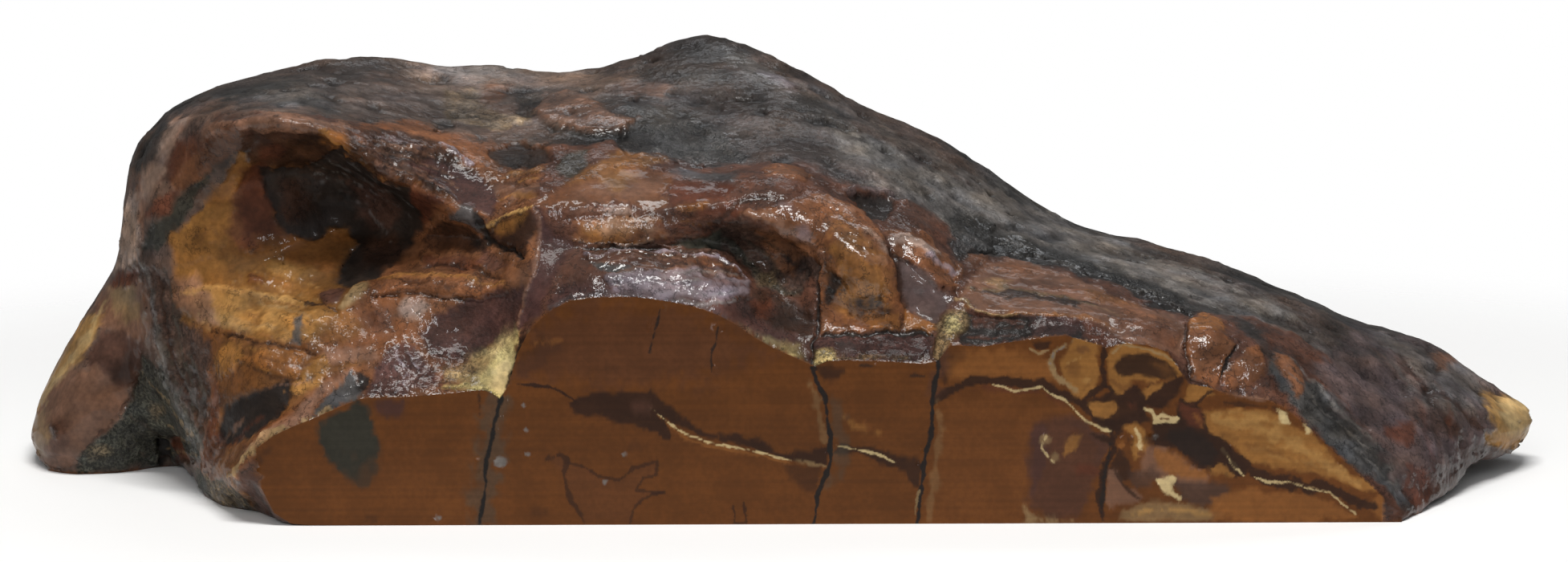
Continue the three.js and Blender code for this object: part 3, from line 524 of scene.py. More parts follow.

# %% [markdown]
# ## The hollow
# Under a rose-coloured brow the stone has broken away into a deep hollow. Its back is nearly black,
# partly the stone's own colour and partly painted shade under the brow, its floor is honey gold, and
# small ledges run along its lower side.

# %% Forms of the hollow
HOLLOW = [
    patch("223,295 320,180 420,160 560,240 560,360 470,440 300,440 240,410 215,370", "ochre", 10),
    patch("313,161 345,156 392,161 425,180 405,206 322,207 300,185", "umber", 6, 0.9, -0.2),
    patch("244,172 300,160 330,166 312,200 280,215 248,205", "umber", 10, 0.7),
    spot("340,188", "16,11", "oxblood", 6, share=0.7),
    patch("223,295 249,263 303,311 330,316 433,285 440,309 416,352 440,362 420,400 345,435 288,418 "
          "250,401 217,365", "honey", 6, 0.9, calm=0.8),
    patch("222,330 290,320 350,330 380,350 420,400 345,435 288,418 232,396", "gold", 10, 0.9, 0.0, 0.0, 0.3,
          0.9),
    patch("236,372 300,368 322,384 312,412 262,408", "pale_gold", 9, 0.5),
    patch("330,378 424,404 404,428 350,428 322,408", "pale_gold", 9, 0.45),
    patch("240,398 300,404 314,418 262,410", "tan", 7, 0.6),
    spot("366,340", "34,8", "pale_gold", 7, 4, 0.45),
    patch("362,298 415,286 437,300 430,322 400,340 366,334 350,312", "orange", 8, 0.95, 0.25, 0, 0.2, 0.8),
    patch("217,351 249,341 280,410 249,401 217,376", "rose", 6, 0.8),
    patch("302,190 316,200 296,235 286,266 289,288 270,320 230,332 221,297 280,226", "gold", 5, 0.9, 0.2, 0,
          0.2, 0.9),
    patch("222,300 250,272 276,290 262,320 232,330", "honey", 8, 0.6),
    patch("322,207 346,282 372,299 330,302 320,316 303,311 284,290 297,233", "sienna", 6, 0.9, 0, 0, 0.1,
          0.9),
    patch("304,206 330,200 346,230 348,290 330,300 306,296 294,262", "oxblood", 9, 0.9, 0, 0, 0.1, 0.9),
    patch("294,294 318,296 322,316 303,314", "oxblood", 5, 0.7),
    # The near-black back of the hollow: dark stone with painted shade under the brow.
    patch("323,206 392,206 425,180 432,194 480,223 543,235 566,250 525,300 523,326 507,341 452,348 "
          "436,360 416,353 427,325 442,309 433,285 409,285 396,302 372,299 347,285", "pitch_and_shade", 4, 0.95, -0.3,
          0, 0.05, 0.6),
    patch("350,222 380,228 392,262 372,284 352,270", "umber", 9, 0.85),
    patch("436,230 480,236 500,262 480,290 452,280", "mahogany", 10, 0.55),
    patch("448,300 490,290 505,318 480,336 450,332", "umber", 8, 0.7),
    patch("511,230 564,250 532,284 523,262 512,251", "oxblood", 3, 0.85),
    patch("399,161 427,160 430,180 415,186 399,178", "orange", 3, 0.8),
    line("225,368 270,362 392,380", "pale_gold", 7, 3, 0.65, 0.15),
    line("236,400 330,428 385,436", "sienna", 5, 2, 0.6, -0.15),
    patch("306,343 328,346 330,356 312,356", "oxblood", 3, 0.75),
    patch("397,368 416,359 433,361 423,380 408,387", "plum", 3, 0.85),
    patch("420,385 440,361 461,350 463,371 425,395", "tan", 3, 0.9, 0.25),
    patch("345,392 400,388 420,396 405,414 360,412", "gold", 5, 0.7, 0.15),
    line("370,374 406,385 423,395", "umber", 4, 1.2, 0.9, -0.25),
    line("463,373 521,364 557,373 584,371", "umber", 4, 1.2, 0.8, -0.2),
    line("266,416 288,418 310,427 392,444", "umber", 5, 1.5, 0.9, -0.3),
    patch("248,163 272,151 306,149 351,139 444,159 436,166 354,159 327,163 289,154 254,171", "rose", 3, 0.9,
          0.15, 0.2),
    patch("260,128 330,128 420,140 452,156 351,137 272,149 245,160", "rind_brown", 6, 0.7),
    line("399,161 475,219 493,225 507,219 514,230 543,235 566,250", "gold", 4, 1.2, 0.85, 0.2),
]

# %% [markdown]
# ## Between the hollow and the buttress
# Above and to the right of the hollow the break is crumpled: mahogany crust, small facets, a gold
# ledge, and the lower slope down to the saw cut with its sulphur-yellow encrustation.

# %% Forms of the crumpled break
CRUMPLE = [
    patch("436,160 520,150 600,180 680,180 690,260 640,490 470,500 380,525 290,600 250,580 262,420 "
          "400,445 470,350 560,250 470,220", "sienna", 8),
    patch("430,162 500,166 540,180 600,222 560,246 470,218 436,196", "umber", 6, 0.85, 0.0, 0.3),
    patch("436,166 500,169 525,182 532,198 475,210", "mahogany", 4, 0.8, 0.1, 0.4),
    patch("470,180 520,186 580,214 560,232 480,210", "pitch_and_shade", 9, 0.6),
    # The lilac lines on the brow strip are painted highlights of the wet lacquer.
    line("470,176 500,180 524,192", "lilac_highlight", 4, 2, 0.5, 0.3, wet=1.0),
    line("470,186 500,190 530,186", "rose", 6, 2, 0.6, 0.25, wet=1.0),
    line("550,187 580,200 589,209", "lilac_highlight", 6, 2, 0.8, 0.35, wet=1.0),
    patch("504,209 532,201 596,219 616,234 620,255 614,273 514,219", "plum", 3, 0.95, 0.0, 0.15, 0.35, 0.4),
    patch("607,189 650,179 676,183 686,200 646,216 610,206", "pitch_and_shade", 4, 0.9, -0.4, 0.0, 0.05),
    patch("589,189 614,210 641,212 680,205 690,246 632,267 620,266 618,241 600,219", "sienna", 4, 0.9, 0.0,
          0.3, 0.4),
    patch("610,236 640,226 660,236 640,252 616,250", "bark", 5, 0.6, -0.1),
    line("625,222 650,216 684,212", "gold", 6, 2, 0.7, 0.3),
    line("640,248 664,240 684,230", "rose", 7, 2, 0.7, 0.35, wet=1.0),
    patch("525,300 548,275 568,271 589,285 600,301 598,310 591,317 571,307 554,316 536,314", "umber", 3,
          0.8, -0.05),
    patch("561,268 577,255 589,259 605,280 604,291 579,273", "slate", 3, 0.9, 0.15),
    patch("605,287 629,273 664,262 666,287 657,301 659,325 611,301", "umber", 3, 0.95, 0.1),
    patch("612,285 658,266 644,288 626,294", "honey", 5, 0.8),
    line("605,285 666,257", "pale_gold", 4, 1.2, 0.85, 0.2),
    line("594,266 614,303 650,326", "pitch_and_shade", 8, 2, 0.95, -0.4),
    patch("592,286 620,310 606,314 592,304", "pitch_and_shade", 4, 0.8),
    patch("554,317 568,309 598,323 614,307 636,319 638,357 623,353 579,326 525,332 525,314", "sienna", 3,
          0.9, 0.1, 0.2),
    patch("528,316 556,322 584,318 606,330 590,342 530,332", "oxblood", 4, 0.7, 0, 0.1, 0.5),
    patch("600,312 620,318 634,336 616,344 600,332", "plum", 4, 0.6),
    patch("646,330 664,330 660,372 640,380", "pitch_and_shade", 7, 0.6),
    line("527,336 560,330 590,336 625,352", "umber", 4, 1.5, 0.8, -0.25),
    patch("452,350 525,337 584,341 614,353 638,355 640,366 579,371 525,362 463,371", "sienna", 3, 0.9, 0.1,
          0.3),
    line("470,352 520,345 575,348 630,360", "gold", 5, 2, 0.6, 0.1),
    line("480,348 500,356 540,352 560,362 600,356", "umber", 3, 1.2, 0.6, -0.12),
    line("463,373 521,367 557,374 640,372", "umber", 5, 1.5, 0.85, -0.3),
    patch("493,392 504,376 525,375 532,385 516,400", "blush", 6, 0.7, 0.2, 0.2, 1.0),
    patch("440,385 490,378 500,420 470,436 410,440 392,420", "sienna", 6, 0.8, 0, 0, 0.25, 0.5),
    patch("410,400 440,388 452,410 430,430 404,428", "honey", 6, 0.6),
    patch("455,390 480,384 486,410 462,424", "mahogany", 6, 0.6),
    patch("362,432 370,405 381,396 378,421 373,432", "slate", 3, 0.9, -0.1),
    patch("262,420 400,446 470,440 440,462 405,470 326,542 288,596 262,575 268,480", "ochre", 6, 0.8, 0, 0,
          0.25, 0.5),
    patch("279,424 299,432 301,454 274,470 268,449", "gold", 6, 0.8, 0.15),
    patch("296,449 340,435 378,443 367,470 326,465", "orange", 4, 0.85, 0.1),
    patch("378,457 405,443 408,462 395,481 364,490 359,484", "gold", 3, 0.95, 0.1),
    patch("404,438 471,432 474,448 408,458", "rose", 3, 0.85, 0.1),
    patch("277,512 293,498 331,481 364,473 362,495 340,523 320,539 285,555 271,550", "pitch_and_shade", 4, 0.97,
          -0.25, 0.0, 0.1, 0.5),
    patch("266,473 277,495 271,534 285,555 263,583 257,572 258,500", "oxblood", 4, 0.7),
    patch("326,542 359,523 405,473 438,462 400,495 384,525 330,548", "rose", 3, 0.9, 0.0, 0.15),
    patch("381,528 405,495 438,465 449,490 441,501", "slate", 2, 0.95, 0.0, 0.0),
    patch("441,468 463,468 458,481 449,490", "pitch_and_shade", 2, 0.95, -0.15),
    patch("474,449 485,435 504,427 521,440 537,462 540,481 521,490 449,500", "plum", 4, 0.9, 0.1, 0.2, 0.3,
          0.3),
    patch("524,420 544,392 586,373 657,359 647,416 600,440 545,450 530,440", "plum", 5, 0.9, 0.0, 0.3, 0.3,
          0.8),
    patch("548,462 650,410 633,500 570,489", "sulphur", 14, 0.45, 0.05, 1.0, 0.0),
    patch("596,466 648,418 632,502 580,488", "sulphur", 9, 0.9, 0.08, 0.3, 0.0, 0.7),
    patch("612,464 636,444 640,466 632,498 608,484", "cream", 6, 0.85, 0.1, 0.1, 0.0, 0.7),
    patch("534,440 590,436 590,466 540,490", "plum", 16, 0.6, 0, 0.9, 0.05),
    line("548,488 576,482 604,486 626,498", "sulphur", 7, 3, 0.8, 0.05, 0.6, wet=0.0),
    line("288,594 329,545 448,500", "tan", 8, 2, 0.9, 0.1),
    line("660,402 627,500", "umber", 6, 1.5, 0.95, -0.1),
]
HOLLOW += (
    streaks("226,340 290,335 345,342 400,362", "250,402 300,416 345,430 392,440", 11,
            ("pale_gold", "sienna", "tan"), 3.0, 0.38, 0.10, 5)
    + streaks("340,215 390,225 440,260 480,320", "430,190 470,222 520,240 550,250", 16,
            ("bark", "pitch_and_shade", "ash_and_sheen"), 1.2, 0.35, 0.15, 6)
    + streaks("232,300 262,260 300,200", "290,330 292,270 316,205", 5, ("honey", "sienna", "gold"), 4, 0.25,
            0.08, 7)
)
LEFT_LOBE += (
    streaks("178,300 190,400 222,520 250,575", "214,352 240,430 262,520 268,560", 14,
            ("moss", "umber", "bottle"), 3, 0.35, 0.25, 8)
    + streaks("190,440 215,480 240,540", "150,560 200,575 250,572", 9, ("pitch_and_shade", "tan", "umber"), 3, 0.5,
            0.2, 9)
    + streaks("176,200 196,170 222,146", "182,300 215,250 250,170", 5, ("umber", "rose", "oxblood"), 4, 0.25,
            0.1, 10)
)
CRUMPLE += (
    streaks("262,590 272,550 290,520", "300,575 350,530 400,490", 7, ("rose", "umber", "oxblood"), 4, 0.4,
            0.12, 11)
    + streaks("440,172 490,186 545,200 580,214", "460,208 500,222 540,240 566,250", 12,
            ("rose", "pitch_and_shade", "bark"), 2.6, 0.5, 0.25, 12)
    + streaks("300,430 340,440 400,450", "290,470 340,490 400,480", 7, ("gold", "umber", "rose"), 3.5, 0.5,
            0.12, 13)
    # The lilac streaks on the crystals are painted glints.
    + streaks("486,440 494,466 478,494", "514,434 530,462 532,482", 7, ("mauve", "pitch_and_shade", "lilac_highlight"), 2.0, 0.5,
            0.2, 14)
    + streaks("610,225 640,218 684,208", "622,262 650,256 690,248", 7, ("rose", "umber", "gold"), 3, 0.5,
            0.25, 15)
)
print(len(LEFT_LOBE) + len(HOLLOW) + len(CRUMPLE), "forms left of the buttress")

# %% [markdown]
# ## The buttress and the knob
# In the middle the break stands forward. Wavy bands of lacquered mahogany cross it, and a golden
# knob with a dark cavity beside it hangs over the polished face.

# %% Forms of the buttress
BUTTRESS = [
    patch("667,259 680,200 760,190 900,210 1000,200 1080,240 1200,330 1200,430 1160,455 1010,458 880,390 "
          "800,372 730,368 690,385 655,412 651,376 669,323", "mahogany", 8),
    patch("667,259 699,257 711,269 715,305 699,332 676,394 651,410 651,376 669,323", "plum", 4, 0.95, 0.0,
          0.1, 0.15, 0.5),
    line("668,262 671,300 668,330 655,372 651,405", "rose", 4, 1.5, 0.7, 0.15),
    patch("747,209 765,194 786,191 830,203 711,236 704,230 726,214", "honey", 5, 0.7, 0.1),
    patch("702,194 735,190 729,216 705,224 690,215", "bottle", 4, 0.8, -0.1),
    patch("669,251 699,234 747,223 786,207 836,217 836,228 819,244 836,246 836,257 811,266 788,251 "
          "747,250 702,257 676,257", "sienna", 4, 0.95, 0.0, 0.15, 0.35, 0.85),
    patch("715,240 760,216 826,222 818,240 780,247", "rose", 10, 0.55, 0, 0.1, 0.3, 0.9),
    patch("745,225 775,212 800,218 770,234", "gold", 8, 0.6, 0, 0.1, 0.3, 0.9),
    patch("836,212 920,221 920,232 854,226", "slate", 3, 0.8),
    patch("836,230 920,234 905,248 842,262 828,250", "oxblood", 3, 0.95, 0.0, 0.1, 0.5, 0.7),
    patch("842,259 890,248 872,262 850,268", "orange", 3, 0.85, 0.1),
    patch("869,264 920,250 925,269 886,282 845,280", "oxblood", 3, 0.8, -0.1),
    line("704,262 730,258 800,266", "rose", 6, 2, 0.6, 0.25, wet=0.5),
    patch("672,262 800,262 900,268 928,280 890,292 792,300 719,300 690,290", "chestnut", 4, 0.8, 0.0, 0.3,
          0.35, 0.3),
    patch("717,272 765,268 819,272 828,291 765,305 719,301", "sienna", 5, 0.9, 0.15, 0.1, 0.4, 0.4),
    patch("724,278 780,272 812,280 780,296 730,298", "gold", 9, 0.55),
    patch("730,276 800,272 818,286 760,290", "blush", 10, 0.3),
    spot("772,263", "20,5", "blush", 3, 0, 0.5, 0.2, 0.3, 1.0),
    line("722,300 790,301 828,292", "blush", 3, 1.5, 0.6, 0.2, wet=1.0),
    line("717,303 733,301 783,305 811,303 829,305 854,314 890,314 920,325", "bark", 3, 1, 0.8, 0.15),
    line("717,307 811,307 829,309 854,318 890,318", "pitch_and_shade", 3.5, 1, 0.85, -0.25),
    patch("828,303 872,296 920,280 925,319", "bottle", 4, 0.95, -0.3),
    patch("726,312 765,309 890,320 925,336 925,350 872,336 797,341 740,335", "mahogany", 3, 0.95, 0.2, 0.15,
          1.0),
    line("735,318 780,315 880,326 915,340", "sienna", 6, 2.5, 0.6, 0.2, wet=1.0),
    # The lilac line and band along the wave are painted highlights of the wet lacquer.
    line("728,316 745,320 775,313 811,314 890,322 934,350", "lilac_highlight", 3.4, 1.0, 0.85, 0.3, wet=1.0),
    patch("733,326 772,332 797,341 783,344 747,339", "slate", 2, 0.9, -0.2),
    patch("749,346 870,335 894,337 904,348 935,351 930,368 880,380 765,367", "lilac_highlight", 4, 0.7, 0.35, 0.25,
          1.0),
    line("760,352 800,356 870,346", "lilac_highlight", 9, 3, 0.7, 0.15, 0.3, wet=1.0),
    spot("883,341", "10,9", "mahogany", 3, share=0.8, rise=-0.35, wet=1.0),
    patch("701,359 747,348 765,367 700,382 685,380", "plum", 4, 0.9, 0.0, 0.1, 0.9),
    line("690,384 715,371 745,366 880,383 905,396", "mauve", 7, 2, 0.8, 0.15, wet=0.9),
    patch("880,385 930,370 1008,400 1008,452", "plum", 4, 0.7),
    patch("905,372 950,366 1010,384 1012,420 940,396", "pitch_and_shade", 6, 0.7, 0, 0.2, 0.05),
    patch("940,415 998,432 1000,453 949,431 925,408", "sulphur", 9, 0.4, 0.05, 1.3, 0.2),
    line("895,284 910,262 930,252 955,250", "umber", 5, 2, 0.8, -0.2),
    patch("949,212 967,204 990,208 1012,223 1002,231 988,231 951,219", "sienna", 3, 0.95, 0.2, 0.2, 0.8),
    patch("924,272 971,290 990,304 1022,333 1020,353 1010,345 998,366 978,368 945,359 945,345 931,329 "
          "900,312 905,285", "bark", 4, 0.97, -0.2, 0.4),
    patch("940,286 978,290 1000,318 990,345 965,330", "sienna", 7, 0.75),
    line("905,300 975,362 1000,366", "moss", 12, 5, 0.7, 0.0, 0.6),
    patch("947,340 968,338 971,354 950,357", "tan", 4, 0.4, 0.0, 0.5),
    line("975,320 992,332 1006,340", "pitch_and_shade", 6, 2, 0.8, -0.1),
    patch("941,363 976,366 1014,386 1018,406 1010,420 957,406 935,390", "umber", 4, 0.85, 0.0, 0.25, 0.1),
    patch("930,376 956,372 966,392 946,400", "oxblood", 6, 0.8),
    patch("924,268 971,261 1010,247 1033,249 1078,272 1104,306 1121,374 1122,390 1114,412 1022,417 "
          "1022,333 957,278", "sienna", 4, 0.97, 0.25, 0.15, 0.9),
    patch("1035,290 1075,300 1095,330 1105,380 1085,395 1050,385", "gold", 14, 0.55),
    line("930,270 965,274 1030,318", "rose", 9, 3, 0.7, 0.4, wet=1.0),
    line("1012,252 1040,262 1062,280", "rose", 8, 3, 0.6, 0.3, wet=1.0),
    # The two lilac spots on the knob are painted glints.
    spot("978,262", "13,5", "lilac_highlight", 5, 20, 0.35, 0.35, 0.4, 1.0),
    spot("1004,292", "12,6", "lilac_highlight", 4, 60, 0.35, 0.4, 0.4, 1.0),
    line("1066,286 1086,300 1104,318", "blush", 5, 3, 0.5, 0.3, 0.4, wet=1.0),
    spot("1040,352", "8,13", "pitch_and_shade", 3, 20, 0.85, -0.1, 0.4),
    spot("1082,376", "13,9", "pitch_and_shade", 4, 10, 0.85, -0.1, 0.5),
    line("1060,300 1070,320 1104,330", "rose", 7, 2.5, 0.6, 0.35, wet=1.0),
    line("1028,300 1032,330 1026,360", "umber", 5, 3, 0.5, -0.2),
    patch("1031,353 1043,360 1040,382 1031,378", "pitch_and_shade", 2.5, 0.8, -0.1, 0.3),
    patch("1059,368 1080,376 1074,394 1060,388", "umber", 3, 0.75, -0.05, 0.5),
    patch("1088,380 1106,380 1104,392 1090,390", "umber", 3, 0.75, -0.05, 0.5),
    patch("1084,394 1114,394 1116,412 1084,413", "orange", 4, 0.8, 0.1),
    patch("1096,288 1157,296 1165,314 1196,333 1198,349 1182,361 1165,353 1120,321", "sienna", 4, 0.85, 0.3,
          0.2, 1.0),
    line("1106,302 1128,300 1166,324", "blush", 9, 2.5, 0.65, 0.35, wet=1.0),
    # The lilac line on this fold is a painted highlight.
    line("1150,322 1172,334 1190,344", "lilac_highlight", 7, 2.5, 0.6, 0.2, wet=1.0),
    line("1104,316 1130,330 1160,356 1180,366", "umber", 6, 2, 0.8, -0.35),
    patch("1112,337 1122,323 1155,341 1169,361 1186,374 1163,406 1133,394 1122,374", "mauve", 4, 0.85, 0.0,
          0.1, 0.7, 0.8),
    line("1108,310 1124,372 1124,400", "umber", 6, 2, 0.8, -0.3),
    patch("1122,382 1131,394 1161,408 1155,419 1124,414", "orange", 3, 0.85, 0.15),
    patch("1059,243 1104,247 1114,259 1108,274 1090,278 1063,255", "pitch_and_shade", 4, 0.95, -0.7),
    line("1055,240 1080,237 1108,243 1124,256", "mauve", 6, 2, 0.6, 0.35, wet=0.9),
    patch("1116,251 1150,258 1175,280 1182,300 1130,286 1112,276", "mahogany", 4, 0.8, 0.15, 0.3, 0.8),
    patch("1014,425 1043,417 1161,421 1157,439 1137,453 1063,449 1012,455", "plum", 3, 0.9, 0.25, 0.5, 0.05,
          0.5),
    patch("1043,427 1069,429 1069,443 1045,441", "pitch_and_shade", 3, 0.7),
    line("1020,449 1050,447 1150,448", "tan", 3, 2, 0.5, 0, 1.0, wet=0.05),
    patch("1014,434 1037,438 1045,450 1014,454", "sulphur", 4, 0.45, 0, 1.3, 0.2),
    line("1020,417 1114,416 1160,420", "pitch_and_shade", 6, 1.2, 0.95, -0.35),
    line("1022,333 1020,412 1014,427 1011,457", "pitch_and_shade", 5, 1.2, 0.9, -0.3),
]

# %% [markdown]
# ## The shelf and the right-hand break
# Right of the knob lies a brown shelf. Beyond it the break narrows to a grey-black band beside the
# polished face, and a last lobe ends in a pale tip.

# %% Forms of the shelf and the right lobe
SHELF = [
    patch("1186,375 1225,332 1247,326 1273,326 1355,354 1377,371 1459,393 1474,404 1477,419 1472,445 "
          "1396,423 1355,401 1312,393 1281,397 1216,386 1203,375", "rose", 3, 0.6, 0.15, 0.0, 0.3, 1.0),
    patch("1219,354 1242,347 1260,352 1247,360", "tan", 4, 0.6),
    patch("1215,336 1265,330 1310,344 1260,346", "sienna", 5, 0.6),
    patch("1346,367 1380,370 1420,384 1400,386 1360,378", "ochre", 4, 0.7),
    line("1212,363 1366,382", "pitch_and_shade", 11, 3, 0.85, -0.1),
    line("1236,352 1290,358 1340,368", "oxblood", 6, 4, 0.4),
    line("1200,381 1247,392 1350,396 1390,412", "orange", 4, 2, 0.6, 0.1),
    patch("1400,386 1450,396 1470,412 1466,436 1396,404", "sienna", 6, 0.6, 0.1),
    patch("1380,396 1450,404 1468,420 1466,440 1420,424", "mahogany", 8, 0.6),
    line("1188,373 1203,377 1214,386 1268,395", "tan", 3.5, 1, 0.8, 0.15),
    patch("1201,388 1290,400 1340,402 1380,424 1281,418 1262,427 1225,436 1193,434", "pitch_and_shade", 3, 0.95, -0.2,
          0.3, 0.05, 0.5),
    patch("1210,394 1245,400 1240,408 1212,404", "oxblood", 3, 0.8),
    patch("1281,399 1338,397 1351,410 1338,421 1312,423 1290,419", "plum", 3, 0.6, 0.2, 0.2, 0.3),
    patch("1351,401 1388,427 1377,436 1355,421", "oxblood", 3, 0.9, 0.1),
    patch("1167,401 1186,386 1199,390 1201,410 1182,427 1176,453 1162,447", "tan", 6, 0.9, 0.2, 0.7, 0.1),
    patch("1180,396 1192,396 1194,412 1182,420 1176,410", "sulphur", 5, 0.7, 0.1, 0.6, 0.1),
    patch("1481,405 1496,396 1520,400 1527,424 1542,431 1516,485 1483,472 1479,435", "sienna", 2.5, 0.95,
          0.3, 0.1, 0.9),
    patch("1481,405 1496,396 1520,400 1526,416 1484,418", "orange", 3, 0.8, 0.1),
    line("1478,400 1478,440 1484,474 1516,486", "umber", 4, 1.2, 0.9, -0.25),
    patch("1529,463 1553,437 1570,429 1579,457 1574,472 1561,483 1527,483 1522,470", "sienna", 2.5, 0.9,
          0.2, 0.1),
    patch("1540,398 1575,415 1630,480 1600,470", "rind_dark", 6, 0.7),
    line("1546,427 1533,444 1520,478", "pitch_and_shade", 4, 1, 0.95, -0.25),
    patch("1579,457 1590,437 1626,474 1663,491 1683,522 1744,587 1772,634 1748,637 1713,602 1668,578 "
          "1631,526 1605,500", "slate", 4, 0.95, 0.0, 0.2, 0.7),
    patch("1590,437 1605,446 1624,468 1626,487 1613,496 1590,457", "sienna", 4, 0.85, 0.15),
    line("1696,530 1733,569 1765,617", "rose", 6, 2, 0.8, 0.25),
    line("1640,500 1740,604", "pitch_and_shade", 9, 4, 0.6, -0.2),
]
RIGHT_LOBE = [
    patch("1690,405 1760,415 1925,500 1915,560 1810,600 1772,650 1640,460", "mauve", 14, 0.9, 0, 0.2, 0.5),
    # A painted grey sheen over the mauve lobe.
    patch("1712,410 1830,458 1862,500 1800,520 1750,490", "ash_and_sheen", 14, 0.55, 0.1, 0.1, 0.6),
    patch("1720,544 1730,531 1760,528 1766,544 1757,561", "oxblood", 5, 0.8),
    line("1718,430 1745,452 1785,500", "mauve", 12, 5, 0.7, 0.2, wet=0.7),
    line("1812,476 1838,502 1860,534", "mauve", 10, 5, 0.65, 0.15, wet=0.7),
    line("1738,440 1810,540", "umber", 8, 4, 0.7, -0.35),
    patch("1781,436 1809,440 1812,456 1790,458", "sienna", 5, 0.7),
    line("1769,480 1808,502 1856,544", "umber", 7, 3, 0.75, -0.2),
    patch("1846,488 1916,500 1918,520 1908,545 1889,562 1852,550 1862,528", "pale_gold", 7, 0.95, 0.1, 0.0,
          0.3, 1.0),
    patch("1866,496 1916,500 1908,545 1880,540", "cream", 9, 0.5, 0, 0, 0.3, 1.0),
    patch("1795,512 1816,536 1824,560 1856,550 1885,556 1890,575 1832,590 1805,625 1760,655 1740,640 "
          "1780,600", "umber", 8, 0.75, -0.1),
    patch("1784,539 1812,545 1820,570 1800,600 1776,590", "mauve", 6, 0.6),
    patch("1749,583 1776,583 1782,620 1768,636 1745,610", "oxblood", 5, 0.7, -0.1),
]
BUTTRESS += (
    streaks("700,276 760,268 830,272 900,276", "715,300 770,302 830,300 880,308", 4,
            ("honey", "oxblood", "rose"), 3, 0.4, 0.2, 16)
    + streaks("735,315 790,312 860,320 920,330", "745,345 800,342 870,338 925,350", 7,
            ("sienna", "pitch_and_shade", "rose"), 3, 0.45, 0.25, 17)
    # The ash streaks across the wave are painted highlights of the wet lacquer.
    + streaks("745,348 810,342 880,340 930,352", "770,368 830,376 880,382 930,372", 10,
            ("ash_and_sheen", "plum", "oxblood"), 3, 0.5, 0.3, 18)
    + streaks("1032,262 1075,290 1100,340 1108,400", "1030,300 1040,340 1050,380 1050,410", 8,
            ("honey", "umber", "gold"), 3.5, 0.35, 0.15, 19)
    + streaks("905,300 940,330 960,360", "960,290 1000,320 1016,350", 9, ("bottle", "mahogany", "pitch_and_shade"), 3,
            0.5, 0.15, 20)
)
SHELF += (
    streaks("1205,350 1260,334 1330,352 1400,380", "1195,374 1250,384 1330,392 1420,412", 5,
            ("bark", "sienna", "tan"), 3, 0.25, 0.05, 21)
    + streaks("1600,440 1660,492 1720,560 1760,620", "1600,480 1650,540 1700,590 1740,628", 10,
            ("pitch_and_shade", "ash_and_sheen", "rind_dark"), 3, 0.45, 0.2, 22)
    + streaks("1200,388 1240,394 1280,402", "1200,430 1235,432 1270,422", 7, ("oxblood", "pitch_and_shade"), 3.5, 0.5,
            0.15, 23)
)
RIGHT_LOBE += streaks("1700,425 1740,480 1770,560 1780,630", "1820,470 1830,510 1820,550 1810,575", 9,
            ("bark", "mauve", "oxblood", "umber"), 6, 0.3, 0.2, 24)
print(len(BUTTRESS) + len(SHELF) + len(RIGHT_LOBE), "forms from the buttress to the right tip")
